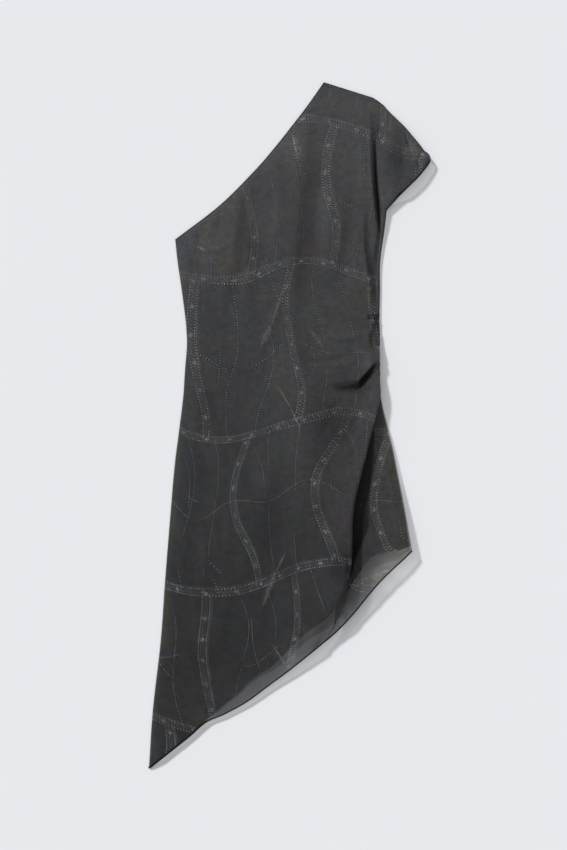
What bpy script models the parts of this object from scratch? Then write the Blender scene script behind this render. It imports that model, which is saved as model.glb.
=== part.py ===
"""One-shoulder dress laid flat: a sheer outer front and back over a dark front lining.

The dress lies on its back in the XY plane, with its front facing +Z, its shoulder towards +Y
and the side that is gathered at the hip towards +X. The origin is the middle of its footprint
on the surface that it lies on. Tables are in millimetres, and the model is in metres.
"""

from collections import namedtuple
from math import cos, exp, hypot, pi, sin

import bmesh
import bpy
import numpy as np
from mathutils import Vector

MM = 0.001

# Driving sizes
CLOTH = 1.0             # wall of each layer
SEAM_GAP = 0.3          # between two layers that touch
SLACK = 0.4             # more room over the lining, for slopes
PUFF = 3.0              # how far the front swells over the layers under it
PUFF_REACH = 34.0       # how far in from a side seam the swelling is full
SEAM_RAMP = 10.0        # how far in from a side seam the lining begins
LINING_EASE = 50.0      # how far in from the right edge the lining lifts with the front
LINING_LIFT = 0.94      # share of a bed's height that the lining takes
LINING_REACH = 0.28     # share of the lining's rows that take up the curve of its hem
ROLL = 0.85             # roundness of the draped fold, as a share of its height
LEAST_ROLL = 4.0
CREST_REACH = 46.0      # how far left of the draped fold its crest falls away
SIDE_SWELL = 1.6        # how far the cloth right of the draped fold swells
HEM_REACH = 4.6         # sections above the hem that take up its curve
SLEEVE_REACH = 4.2      # sections below the shoulder that take up its curve
TOP_SEAM_REACH = 0.9    # sections below the shoulder seam where the layers part
FREE_REACH = 1.5        # sections over which an edge comes away from the layers under it
BACK_INSET = 4.0        # how far the back lies inside the front beside the skirt

# Rows and columns
ROW_STEP = 26.0         # length of cloth between two rows
HIP_ROW_STEP = 12.0     # and beside the hip's gathers
MAIN_COLUMNS = 18       # columns left of the draped fold
MAIN_CROWDING = 1.15    # above 1, columns stand closer near the draped fold
FOLD_COLUMNS = 9        # columns round the draped fold
SIDE_COLUMNS = 6        # columns right of the draped fold
LINING_COLUMNS = 14
SLEEVE_POINTS = 8
HEM_POINTS = 30
TIP_POINTS = 10

BACK_TOP = CLOTH
SEAM_TOP = BACK_TOP + SEAM_GAP + CLOTH
LINING_TOP = SEAM_TOP
LINED_TOP = LINING_TOP + SEAM_GAP + CLOTH + SLACK

OUTER_COLOUR = (0.045, 0.045, 0.048, 1.0)
OUTER_ROUGHNESS = 0.8
LINING_COLOUR = (0.012, 0.012, 0.014, 1.0)
LINING_ROUGHNESS = 0.7

# A section crosses the front from its left edge, over the draped fold, to its right edge.
# rise is how far the fold stands over the panel, and tuck how far the cloth runs back under it;
# where tuck is below zero, the cloth slopes down to the right of the fold instead.
Section = namedtuple("Section", "left_x left_y fold_x fold_y right_x right_y rise tuck")
SECTIONS = (
    Section(66, 664.5, 161, 634, 270, 522, 0, -24),
    Section(35, 623, 161, 594, 273.5, 511, 2, -18),
    Section(2, 581, 163, 558, 252, 485, 4, -12),
    Section(-35, 534, 166, 520, 231, 465, 6, -8),
    Section(-76, 488, 169, 478, 209, 444, 6, -7),
    Section(-140, 425, 172, 428, 187, 418, 5, -6),
    Section(-221, 363, 171, 382, 181, 380, 4, -5),
    Section(-216, 317, 157, 316, 174, 317, 4, -7),
    Section(-209, 262, 155, 262, 174, 262, 4, -8),
    Section(-203, 208, 156, 212, 173, 208, 4, -8),
    Section(-200, 155, 160, 155, 175, 155, 5, -5),
    Section(-204, 103, 171, 103, 175, 103, 9, 7),
    Section(-207, 57, 176, 57, 177, 57, 12, 17),
    Section(-215, -9, 167, 2, 188, 0, 15, 22),
    Section(-224, -80, 153, -62, 199, -57, 17, 26),
    Section(-233, -185, 131, -160, 213, -122, 18, 28),
    Section(-243, -310, 116, -262, 224, -178, 18, 26),
    Section(-251, -420, 112, -325, 230, -214, 16, 20),
    Section(-266, -552, 88, -382, 235, -235, 11, 12),
    Section(-273.5, -664.5, 58, -426, 236, -243, 6, 7),
)
LAST = len(SECTIONS) - 1
RIGHT_UNDERARM = 5      # where the sleeve opening meets the right side seam
LEFT_UNDERARM = 6       # where the neckline meets the left side seam
HIP_GATHERS = range(9, 12)
HIP = 12                # below it the right side hangs free

Point = namedtuple("Point", "x y")
SLEEVE_TOP = (
    Point(161, 634), Point(179, 621), Point(232, 567), Point(257, 538), Point(270, 522),
)
HEM_LEFT = (
    Point(-273.5, -664.5), Point(-229, -630), Point(-194, -602), Point(-165, -578),
    Point(-124, -558), Point(-83, -537), Point(-42, -507), Point(1, -475), Point(58, -426),
)
HEM_RIGHT = (
    Point(58, -426), Point(113, -387), Point(139, -356), Point(163, -323), Point(190, -290),
    Point(208, -273), Point(236, -243),
)
LINING_HEM = (
    Point(-248, -628), Point(-217, -606), Point(-165, -567), Point(-144, -556),
    Point(-128, -541), Point(-103, -522), Point(-81, -499), Point(-60, -483), Point(-27, -460),
    Point(25, -407), Point(70, -375), Point(97, -343), Point(130, -292), Point(151, -261),
    Point(171, -248), Point(222, -240),
)
BACK_TIP = (Point(-273.5, -664.5), Point(-229, -630), Point(-194, -602), Point(-166, -576))
BACK_HEM = (
    Point(-166, -576), Point(-112, -516), Point(-70, -480), Point(-32, -452), Point(20, -398),
    Point(64, -366), Point(90, -334), Point(124, -282), Point(146, -252), Point(170, -238),
    Point(224, -230),
)

# A bed is a soft mound that lifts every loose layer over it.
Bed = namedtuple("Bed", "x y across along height")
BEDS = (
    Bed(236, 476, 95, 95, 11),      # sleeve opening
    Bed(200, -262, 130, 150, 13),   # flared corner of the hem
    Bed(60, -425, 120, 150, 7),     # middle of the hem
)

# A fold of the front: its path, its height, and its width on each side of a path that runs
# down the dress. A trough's height is below zero.
Fold = namedtuple("Fold", "path height left right")
FOLDS = (
    Fold((Point(49, 600), Point(40, 500), Point(31, 340), Point(26, 160)), -2.4, 26, 30),
    Fold((Point(-66, 462), Point(-83, 392), Point(-92, 300), Point(-126, 190)), -2.2, 22, 26),
    Fold((Point(72, 520), Point(70, 400), Point(66, 290)), 2.2, 26, 26),
    Fold((Point(118, 470), Point(112, 380), Point(108, 300)), -1.8, 22, 22),
    Fold((Point(-132, 420), Point(-142, 350)), -1.6, 16, 18),
    Fold((Point(178, 193), Point(150, 198)), 4.0, 8, 22),
    Fold((Point(166, 182), Point(158, 152)), -3.4, 14, 11),
    Fold((Point(182, 138), Point(162, 118), Point(140, 99), Point(112, 82), Point(78, 80)),
         9.0, 34, 11),
    Fold((Point(168, 92), Point(150, 60), Point(120, 40)), -1.6, 16, 20),
    Fold((Point(118, 40), Point(96, -60), Point(70, -220)), 2.6, 30, 34),
    Fold((Point(-18, -20), Point(-22, -260), Point(-42, -420)), -2.0, 44, 40),
    Fold((Point(219, 585), Point(232, 532)), -2.6, 9, 12),
    Fold((Point(196, 604), Point(206, 520), Point(196, 455)), 2.6, 14, 18),
)
FOLD_START = 0.08       # how far through its swell a fold is at each end of its path

# A row of cloth: its place among the sections, its three points and its fold's form.
Row = namedtuple("Row", "place left fold right rise tuck")


def smooth_step(share):
    """Ease from 0 to 1, with values outside that range held at its ends."""
    share = np.clip(share, 0.0, 1.0)
    return share * share * (3.0 - 2.0 * share)


def length(vector):
    """Length of a flat vector."""
    return hypot(vector[0], vector[1])


def spline(values, places):
    """Read a Catmull-Rom curve through evenly numbered values at fractional places."""
    values = np.asarray(values, float)
    start = 2 * values[0] - values[1]
    end = 2 * values[-1] - values[-2]
    padded = np.vstack([start, values, end])
    spans = np.minimum(np.floor(places).astype(int), len(values) - 2)
    t = (np.asarray(places) - spans)[:, None]
    a, b, c, d = (padded[spans + step] for step in range(4))
    return 0.5 * (2 * b + (c - a) * t + (2 * a - 5 * b + 4 * c - d) * t**2
                  + (3 * b - a - 3 * c + d) * t**3)


def cornered_spline(values, places, corner):
    """Read a curve that turns sharply at one of its values."""
    values = np.asarray(values, float)
    places = np.asarray(places, float)
    upper = spline(values[:corner + 1], np.minimum(places, corner))
    lower = spline(values[corner:], np.maximum(places - corner, 0.0))
    return np.where((places < corner)[:, None], upper, lower)


def along(points, shares):
    """Return points of a smooth curve at shares of its length."""
    fine = spline(points, np.linspace(0, len(points) - 1, 40 * len(points)))
    run = np.concatenate([[0], np.cumsum(np.linalg.norm(np.diff(fine, axis=0), axis=1))])
    return np.stack([np.interp(shares, run / run[-1], fine[:, axis]) for axis in (0, 1)], 1)


def bulge(curve, shares):
    """Return how far a curve leaves the straight line between its ends."""
    points = along(curve, shares)
    straight = points[0] + (points[-1] - points[0]) * np.asarray(shares)[:, None]
    return points - straight


def row_places(fine):
    """Number the rows: a whole number is a section, and a fraction lies between two."""
    places = [0.0]
    for index, (upper, lower) in enumerate(zip(SECTIONS, SECTIONS[1:])):
        left = hypot(lower.left_x - upper.left_x, lower.left_y - upper.left_y)
        fold = hypot(lower.fold_x - upper.fold_x, lower.fold_y - upper.fold_y)
        step = HIP_ROW_STEP if fine and index in HIP_GATHERS else ROW_STEP
        count = max(1, round((left + fold) / 2 / step))
        places.extend(index + (part + 1) / count for part in range(count))
    return np.array(places)


def cloth_rows(fine):
    """Return the rows of the front from the shoulder to the hem."""
    places = row_places(fine)
    left = cornered_spline([(s.left_x, s.left_y) for s in SECTIONS], places, LEFT_UNDERARM)
    fold = spline([(s.fold_x, s.fold_y) for s in SECTIONS], places)
    right = cornered_spline([(s.right_x, s.right_y) for s in SECTIONS], places, RIGHT_UNDERARM)
    form = spline([(s.rise, s.tuck) for s in SECTIONS], places)
    return [Row(*parts) for parts in zip(places, left, fold, right, form[:, 0], form[:, 1])]


def bed_height(x, y):
    """Height that the beds give to every loose layer."""
    height = 0.0
    for bed in BEDS:
        height += bed.height * exp(-((x - bed.x) / bed.across)**2 - ((y - bed.y) / bed.along)**2)
    return height


def nearest_on_path(x, y, path):
    """Return the distance to a path, the side of it, and the share of it that is nearest."""
    nearest = None
    for index, (start, end) in enumerate(zip(path, path[1:])):
        run_x, run_y = end.x - start.x, end.y - start.y
        share = ((x - start.x) * run_x + (y - start.y) * run_y) / (run_x**2 + run_y**2)
        share = min(max(share, 0.0), 1.0)
        off_x, off_y = x - start.x - share * run_x, y - start.y - share * run_y
        distance = hypot(off_x, off_y)
        if nearest is None or distance < nearest[0]:
            side = run_x * off_y - run_y * off_x
            nearest = (distance, side, (index + share) / (len(path) - 1))
    return nearest


def fold_height(x, y):
    """Height of the ridges and troughs at a point of the front."""
    height = 0.0
    for fold in FOLDS:
        distance, side, share = nearest_on_path(x, y, fold.path)
        width = fold.right if side > 0 else fold.left
        if distance < width:
            ends = sin(pi * (FOLD_START + (1 - 2 * FOLD_START) * share))
            height += fold.height * ends * (0.5 + 0.5 * cos(pi * distance / width))
    return height


def draped_curve(height, tuck):
    """Work out the draped fold's section from its crest to its foot.

    The first result is the distance to the right of the fold's outermost point, and the second
    is the share of the fold's height.
    """
    t = np.linspace(0, 1, FOLD_COLUMNS + 1)
    handle = max(LEAST_ROLL, ROLL * height)
    across = 3 * handle * (1 - t)**2 * t - 3 * (tuck + handle) * (1 - t) * t**2 - tuck * t**3
    outermost = across.max() if tuck > 0 else 0.0
    return across - outermost, 1 - smooth_step(t)


def main_height(row, point, from_crest):
    """Height of the front's outer face left of the draped fold."""
    x, y = point
    from_left = length(point - row.left)
    parted = smooth_step(row.place / TOP_SEAM_REACH)
    lined = smooth_step(from_left / SEAM_RAMP) * parted
    puffed = smooth_step(from_left / PUFF_REACH) * parted
    crest = row.rise * exp(-(from_crest / CREST_REACH)**1.5)
    height = SEAM_TOP + (LINED_TOP - SEAM_TOP) * lined + bed_height(x, y) * lined
    return height + puffed * (PUFF + fold_height(x, y) + crest)


def foot_height(row, foot):
    """Height of the front's outer face at the foot of the draped fold."""
    parted = smooth_step(row.place / TOP_SEAM_REACH)
    return SEAM_TOP + (LINED_TOP - SEAM_TOP) * parted + bed_height(*foot)


def side_height(row, point, share):
    """Height of the front's outer face right of the draped fold."""
    x, y = point
    parted = smooth_step(row.place / TOP_SEAM_REACH)
    held = smooth_step(length(point - row.right) / SEAM_RAMP)
    skirt = smooth_step((row.place - HIP) / FREE_REACH)
    sleeve = smooth_step((RIGHT_UNDERARM - row.place) / FREE_REACH)
    lined = max(held, skirt, sleeve) * parted
    swell = SIDE_SWELL * 4 * share * (1 - share) * parted
    ridge = fold_height(x, y) * held * parted
    return SEAM_TOP + (LINED_TOP - SEAM_TOP) * lined + bed_height(x, y) * lined + swell + ridge


def front_row(row, main_shares, side_shares, bulges):
    """Return a row of the front's outer face, from its left edge to its right edge."""
    near_hem = smooth_step(1 - (LAST - row.place) / HEM_REACH)**2
    near_top = smooth_step(1 - row.place / SLEEVE_REACH)**2
    across, share = draped_curve(row.rise + PUFF, row.tuck)
    main_way = (row.fold - row.left) / length(row.fold - row.left)
    side_way = (row.right - row.left) / length(row.right - row.left)
    crest = row.fold + across[0] * main_way
    foot = row.fold + across[-1] * side_way
    points = []
    for part, bend in zip(main_shares, bulges["hem_left"]):
        point = row.left + (crest - row.left) * part + near_hem * bend
        points.append((*point, main_height(row, point, length(point - crest))))
    top, low = points[-1][2], foot_height(row, foot)
    for distance, part in zip(across[1:], share[1:]):
        point = row.fold + distance * side_way
        points.append((*point, low + (top - low) * part))
    for part, hem, sleeve in zip(side_shares, bulges["hem_right"], bulges["sleeve"]):
        point = foot + (row.right - foot) * part + near_hem * hem + near_top * sleeve
        points.append((*point, side_height(row, point, part)))
    return points


def add_piece(name, data, material, collection):
    """Put a mesh or curve into the dress as a named piece."""
    piece = bpy.data.objects.new(name, data)
    piece.data.materials.append(material)
    collection.objects.link(piece)
    return piece


def soft_panel(name, rows, material, collection):
    """Make a panel with a wall from rows of points on its outer face."""
    mesh = bpy.data.meshes.new(name)
    sheet = bmesh.new()
    grid = [[sheet.verts.new(Vector(point) * MM) for point in row] for row in rows]
    for upper, lower in zip(grid, grid[1:]):
        for column in range(len(upper) - 1):
            sheet.faces.new((upper[column], lower[column], lower[column + 1], upper[column + 1]))
    sheet.to_mesh(mesh)
    sheet.free()
    mesh.shade_smooth()
    wall = add_piece(name, mesh, material, collection).modifiers.new("wall", "SOLIDIFY")
    wall.thickness = CLOTH * MM
    wall.offset = -1.0


def flat_panel(name, points, top, material, collection):
    """Make a flat panel with a wall from its outline."""
    curve = bpy.data.curves.new(name, "CURVE")
    curve.dimensions = "2D"
    curve.fill_mode = "BOTH"
    curve.extrude = CLOTH / 2 * MM
    line = curve.splines.new("POLY")
    line.points.add(len(points) - 1)
    for place, point in zip(line.points, points):
        place.co = (point[0] * MM, point[1] * MM, 0.0, 1.0)
    line.use_cyclic_u = True
    add_piece(name, curve, material, collection).location.z = (top - CLOTH / 2) * MM


def finish(name, colour, roughness):
    """Make a plain cloth material."""
    material = bpy.data.materials.new(name)
    material.use_nodes = True
    shader = material.node_tree.nodes["Principled BSDF"]
    shader.inputs["Base Color"].default_value = colour
    shader.inputs["Roughness"].default_value = roughness
    material.diffuse_color = colour
    return material


def build_front(material, collection):
    """Sheer front, cut in one with its cap sleeve and draped to the right hip."""
    main_shares = 1 - (1 - np.linspace(0, 1, MAIN_COLUMNS + 1))**MAIN_CROWDING
    side_shares = np.linspace(0, 1, SIDE_COLUMNS + 1)[1:]
    bulges = {
        "hem_left": bulge(HEM_LEFT, main_shares),
        "hem_right": bulge(HEM_RIGHT, side_shares),
        "sleeve": bulge(SLEEVE_TOP, side_shares),
    }
    rows = [front_row(row, main_shares, side_shares, bulges) for row in cloth_rows(fine=True)]
    soft_panel("front", rows, material, collection)


def build_lining(material, collection):
    """Dark front lining, which ends short of the sheer hem."""
    shares = np.linspace(0, 1, LINING_COLUMNS + 1)
    rows = [row for row in cloth_rows(fine=False)[1:] if row.left[1] > LINING_HEM[0].y]
    flat, from_right = [], []
    for row in rows:
        way = (row.right - row.left) / length(row.right - row.left)
        start, end = row.left + way * SEAM_RAMP, row.right - way * SEAM_RAMP
        flat.append([start + (end - start) * share for share in shares])
    flat = np.array(flat)
    near_hem = smooth_step(1 - (1 - np.linspace(0, 1, len(rows))) / LINING_REACH)
    flat += near_hem[:, None, None] * (along(LINING_HEM, shares) - flat[-1])
    points = []
    for row, line in zip(rows, flat):
        eased = [smooth_step((length(p - row.right) + SEAM_RAMP) / LINING_EASE) for p in line]
        points.append([(*p, LINING_TOP + LINING_LIFT * ease * bed_height(*p))
                       for p, ease in zip(line, eased)])
    soft_panel("front_lining", points, material, collection)


def build_back(material, collection):
    """Sheer back, flat on the surface, with most of its hem inside the lining's."""
    rows = cloth_rows(fine=False)
    left = [row.left for row in rows[:-1]]
    right = []
    for row in rows:
        if row.right[1] > BACK_HEM[-1].y:
            inset = BACK_INSET * smooth_step(row.place - HIP)
            right.append(row.right - np.array((inset, 0.0)))
    tip = along(BACK_TIP, np.linspace(0, 1, TIP_POINTS))
    hem = along(BACK_HEM, np.linspace(0, 1, HEM_POINTS))
    sleeve = along(SLEEVE_TOP, np.linspace(0, 1, SLEEVE_POINTS))
    outline = np.concatenate((left, tip, hem[1:], right[::-1], sleeve[-2:0:-1]))
    flat_panel("back", outline, BACK_TOP, material, collection)


def main():
    """Clear the scene and build the dress."""
    for old in list(bpy.data.objects):
        bpy.data.objects.remove(old, do_unlink=True)
    dress = bpy.data.collections.new("one_shoulder_dress")
    bpy.context.scene.collection.children.link(dress)
    outer = finish("sheer_outer", OUTER_COLOUR, OUTER_ROUGHNESS)
    lining = finish("dark_lining", LINING_COLOUR, LINING_ROUGHNESS)
    build_back(outer, dress)
    build_lining(lining, dress)
    build_front(outer, dress)


main()
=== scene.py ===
"""Looks of a one-shoulder dress laid flat: sheer outer cloth over a dark lining.

Shapes are worked out in millimetres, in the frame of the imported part: +X towards the gathered
side, +Y towards the shoulder and +Z up from the floor. Meshes are made in metres.
"""

import logging
import math
from dataclasses import dataclass
from enum import Enum
from typing import NamedTuple, Union

import bpy
import numpy as np
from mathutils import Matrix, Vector
from mathutils.geometry import delaunay_2d_cdt


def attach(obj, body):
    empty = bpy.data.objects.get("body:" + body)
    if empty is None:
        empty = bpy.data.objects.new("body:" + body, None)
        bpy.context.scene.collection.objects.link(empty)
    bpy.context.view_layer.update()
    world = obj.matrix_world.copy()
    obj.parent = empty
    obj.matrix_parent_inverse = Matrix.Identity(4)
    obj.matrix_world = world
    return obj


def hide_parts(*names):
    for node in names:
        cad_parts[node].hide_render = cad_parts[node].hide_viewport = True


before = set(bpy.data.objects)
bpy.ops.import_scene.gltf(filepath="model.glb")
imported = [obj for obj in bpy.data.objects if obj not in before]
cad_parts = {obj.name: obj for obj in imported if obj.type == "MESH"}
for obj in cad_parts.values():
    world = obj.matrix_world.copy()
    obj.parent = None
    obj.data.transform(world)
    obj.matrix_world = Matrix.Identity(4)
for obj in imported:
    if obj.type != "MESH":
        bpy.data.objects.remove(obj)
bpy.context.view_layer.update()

LOG = logging.getLogger("dress")
MM = 0.001
BODY = "root"

Array = np.ndarray
Colour = tuple[float, float, float, float]
Triple = tuple[float, float, float]
Value = Union[bpy.types.NodeSocket, float, int, Triple, Colour]


class Layer(Enum):
    """The layers of the dress, each with the name of its solid in the part."""

    FRONT = "front"
    LINING = "front_lining"
    BACK = "back"


class Slot(Enum):
    """The part's material slots."""

    OUTER = "sheer_outer"
    LINING = "dark_lining"


class MapName(Enum):
    """The coordinate maps that each panel's mesh carries."""

    BAKE = "OFBake"
    CLOTH = "Cloth"
    # Painted shade in its first value; the colour's paleness in its second, with painted shade and painted
    # light in some patches.
    SHADE = "Shade"


class Section(NamedTuple):
    """A line across the front: left edge, draped fold, right edge, and the fold's form."""

    left_x: float
    left_y: float
    fold_x: float
    fold_y: float
    right_x: float
    right_y: float
    rise: float
    tuck: float


class Point(NamedTuple):
    """A place on the floor plan."""

    x: float
    y: float


class Bed(NamedTuple):
    """A soft mound that lifts every loose layer over it."""

    x: float
    y: float
    across: float
    along: float
    height: float


class Crease(NamedTuple):
    """A ridge, or a trough where height is below zero, with a width on each side of its path.

    The sides are the viewer's left and right of a path that runs down the dress.
    """

    path: tuple[Point, ...]
    height: float
    left: float
    right: float


class Spot(NamedTuple):
    """A place in the middle of a pocket of painted shade, half its width there, and how dark it is painted.
    """

    x: float
    y: float
    half: float
    depth: float


class Pocket(NamedTuple):
    """A deep pocket of the cloth, where next to no light gets in, with that shade painted into the colour.
    """

    spots: tuple[Spot, ...]
    soft: float


class Hollow(NamedTuple):
    """How far the painted shadow reaches beyond the draped fold at one place, and how dark it is painted.
    """

    y: float
    width: float
    depth: float


class DyeAndShadePatch(NamedTuple):
    """A patch painted paler, or deeper where its change is below zero. Some are uneven washed dye; others
    are painted shade along troughs and painted light along ridges and the left edge.
    """

    x: float
    y: float
    across: float
    along: float
    change: float


class Mark(NamedTuple):
    """A pale line that a hard crease has rubbed into the dye."""

    start: Point
    end: Point
    width: float
    strength: float


SECTIONS = (
    Section(66, 664.5, 161, 634.5, 271, 519.5, 0, -24),
    Section(37, 623, 160.5, 595, 271.2, 509.5, 2, -18),
    Section(5, 581, 159, 558, 252.5, 485, 4, -12),
    Section(-32.5, 534, 159.5, 520, 234, 466, 6, -8),
    Section(-73, 488, 161.5, 478, 212.5, 445, 6, -7),
    Section(-137, 425, 165.5, 428, 188, 418, 5, -6),
    Section(-222.5, 359.5, 167, 382, 183.5, 380, 3, -9),
    Section(-218, 317, 158, 316, 175, 317, 1, -12),
    Section(-210, 262, 154, 262, 174.5, 262, 0.5, -13),
    Section(-203, 208, 158, 208, 173.5, 208, 0.5, -11),
    Section(-201, 186, 169, 186, 174, 186, 1, -4),
    Section(-200, 155, 171, 155, 174, 155, 4, -3),
    Section(-204, 103, 172, 103, 174.4, 103, 8, 6),
    Section(-207, 57, 175, 57, 175.8, 57, 12, 17),
    Section(-215, -9, 162.5, 2, 188.5, 0, 15, 22),
    Section(-224, -80, 147, -62, 202, -57, 17, 26),
    Section(-233, -185, 124, -160, 214.5, -122, 18, 28),
    Section(-243, -310, 119.5, -262, 225, -178, 18, 26),
    Section(-251, -420, 111, -325, 231, -214, 16, 20),
    Section(-266, -552, 88, -382, 235, -235, 6, 0),
    Section(-273.5, -664.5, 58, -426, 236, -243, 2, -6),
)
SLEEVE_TOP = (
    Point(180.6, 620.6), Point(186.2, 613.7), Point(195.9, 603.2), Point(205.6, 593.9),
    Point(215.3, 584.6), Point(225, 574.7), Point(234.7, 562.7), Point(244.4, 551.4),
    Point(254.1, 538.6), Point(259.5, 532), Point(265, 528.4), Point(269, 525), Point(271, 519.5),
)
TOP_EDGE = (Point(66, 664.5), Point(113, 649.5), Point(161, 634.5), *SLEEVE_TOP)
HEM_LEFT = (
    Point(-273.5, -664.5), Point(-229, -629), Point(-194, -601), Point(-165, -576),
    Point(-124, -557.5), Point(-83, -534.5), Point(-42, -504), Point(1, -472), Point(58, -426),
)
HEM_RIGHT = (
    Point(58, -426), Point(85, -403.5), Point(105, -383.5), Point(128, -358), Point(151, -329),
    Point(174, -302.5), Point(198, -278.5), Point(221, -257.5), Point(236, -243),
)
LINING_HEM = (
    Point(-269, -655), Point(-228, -624), Point(-192, -596), Point(-165, -570), Point(-144, -556),
    Point(-128, -541), Point(-103, -522), Point(-81, -499), Point(-60, -483), Point(-27, -460),
    Point(25, -407), Point(70, -375), Point(97, -343), Point(130, -292), Point(151, -261),
    Point(171, -249), Point(204, -243), Point(232, -239),
)
BACK_TIP = (Point(-273.5, -664.5), Point(-229, -630), Point(-194, -602), Point(-166, -576))
BACK_HEM = (
    Point(-166, -576), Point(-112, -516), Point(-70, -480), Point(-32, -452), Point(20, -398),
    Point(64, -366), Point(90, -334), Point(124, -282), Point(146, -252), Point(170, -238),
    Point(224, -230),
)
BEDS = (
    Bed(236, 476, 95, 95, 11),
    Bed(200, -262, 130, 150, 13),
    Bed(60, -425, 120, 150, 7),
)

# The main creases follow those of the part's solids, and the fine ones are the cloth's own.
MAIN_CREASES = (
    Crease((Point(52, 606), Point(42, 490), Point(30, 340), Point(22, 170)), -3.8, 22, 26),
    Crease((Point(-70, 470), Point(-84, 392), Point(-94, 300), Point(-122, 190)), -3.4, 20, 24),
    Crease((Point(76, 530), Point(72, 400), Point(66, 290)), 3.0, 20, 24),
    Crease((Point(116, 480), Point(114, 380), Point(108, 280)), -3.0, 20, 20),
    Crease((Point(-132, 420), Point(-142, 350)), -1.8, 16, 18),
    Crease((Point(180, 134), Point(168.5, 120.5), Point(153.5, 107), Point(139.5, 92.5),
            Point(126, 80.5), Point(112, 76.5)), 9.0, 30, 3.5),
    Crease((Point(134, 88), Point(110, 82), Point(78, 86)), 4.0, 30, 16),
    Crease((Point(168, 92), Point(150, 60), Point(120, 40)), -1.6, 16, 20),
    Crease((Point(118, 40), Point(96, -60), Point(70, -220)), 2.8, 26, 30),
    Crease((Point(-18, -20), Point(-22, -260), Point(-42, -420)), -2.4, 40, 36),
    Crease((Point(196, 604), Point(206, 520), Point(196, 455)), 2.8, 12, 16),
)
FINE_CREASES = (
    Crease((Point(160, 606), Point(160.5, 534), Point(163, 480), Point(169, 424), Point(171, 376)),
           -4.2, 7, 5),
    Crease((Point(189.5, 606), Point(190, 574)), -2.6, 4, 5),
    Crease((Point(219, 578), Point(227, 547), Point(236, 519)), -3.4, 3, 3),
    Crease((Point(229, 572), Point(241, 545), Point(248, 528)), 3.2, 9, 9),
    Crease((Point(254, 526), Point(247, 510), Point(247, 494)), -3.0, 3, 4),
    Crease((Point(264, 520), Point(260, 506), Point(254, 492)), 2.2, 6, 7),
    Crease((Point(206, 548), Point(202, 510), Point(206, 478)), -1.4, 10, 12),
    Crease((Point(149, 412), Point(149, 372), Point(151, 340), Point(156, 301), Point(159, 262)),
           -2.8, 8, 8),
    Crease((Point(155, 292), Point(153.5, 266), Point(154, 240)), 1.6, 4, 5),
    Crease((Point(176, 202), Point(150, 202)), 4.4, 2.0, 12),
    Crease((Point(167, 190), Point(160, 172), Point(161, 150)), -3.2, 9, 9),
    Crease((Point(179, 146), Point(160, 140), Point(130, 144)), 1.6, 8, 14),
    Crease((Point(149, 53), Point(140, 1), Point(107, -71)), 2.2, 14, 18),
    Crease((Point(152, 205), Point(118, 214), Point(84, 232)), 1.3, 12, 10),
    Crease((Point(146, 176), Point(104, 168), Point(62, 172)), 1.4, 12, 9),
    Crease((Point(140, 148), Point(96, 128), Point(50, 124)), -1.5, 12, 12),
    Crease((Point(104, 62), Point(84, 20), Point(60, -30)), -2.6, 18, 20),
    Crease((Point(-12, 272), Point(-37, 190), Point(-56, 150)), 1.5, 10, 14),
    Crease((Point(-22, 74), Point(0, 34), Point(22, -10)), 1.2, 7, 9),
    Crease((Point(4, 570), Point(16, 512)), 1.6, 10, 10),
    Crease((Point(-30, 520), Point(-20, 430), Point(-36, 330)), 1.8, 18, 20),
    Crease((Point(-108, 440), Point(-112, 350), Point(-128, 262)), 1.4, 12, 14),
    Crease((Point(-176, 392), Point(-172, 330), Point(-178, 250)), -1.2, 14, 16),
    Crease((Point(-205, 352), Point(-160, 338), Point(-120, 346)), 1.2, 10, 12),
    Crease((Point(96, 560), Point(100, 470), Point(92, 380)), -1.2, 16, 18),
    Crease((Point(136, 600), Point(140, 500), Point(142, 410)), 1.8, 12, 12),
    Crease((Point(-150, 160), Point(-132, 40), Point(-140, -90)), 1.3, 24, 28),
    Crease((Point(-82, 110), Point(-88, -40), Point(-70, -190)), -1.3, 22, 24),
    Crease((Point(34, 20), Point(22, -130), Point(6, -260)), 1.4, 20, 22),
    Crease((Point(-180, -110), Point(-188, -260), Point(-204, -400)), -1.3, 22, 24),
    Crease((Point(-120, -180), Point(-126, -330), Point(-150, -470)), 1.3, 24, 22),
    Crease((Point(60, -130), Point(56, -240), Point(38, -340)), -1.6, 16, 18),
    Crease((Point(-10, -248), Point(-27, -284), Point(-54, -356)), 1.4, 10, 12),
    Crease((Point(-36, -420), Point(-4, -472)), 1.4, 6, 9),
    Crease((Point(-84, -420), Point(-64, -516)), 1.3, 12, 14),
    Crease((Point(-150, -470), Point(-132, -562)), 1.2, 14, 14),
    Crease((Point(14, -372), Point(34, -440)), -1.3, 10, 12),
    Crease((Point(-222, -520), Point(-214, -612)), 1.0, 12, 14),
    Crease((Point(174, -62), Point(196, -98)), 1.1, 6, 8),
    Crease((Point(176, -30), Point(196, -130), Point(206, -206)), 1.2, 8, 10),
    Crease((Point(160, -176), Point(176, -236), Point(182, -300)), -1.6, 10, 12),
    Crease((Point(140, -262), Point(146, -300), Point(150, -338)), 1.6, 8, 9),
    Crease((Point(118, -330), Point(112, -368), Point(98, -402)), 1.8, 9, 9),
    Crease((Point(196, -228), Point(214, -262)), 1.2, 8, 8),
)

# Painted shade: the cloth's colour is darkened, and made opaque, in these deep folds and creases.
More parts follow.
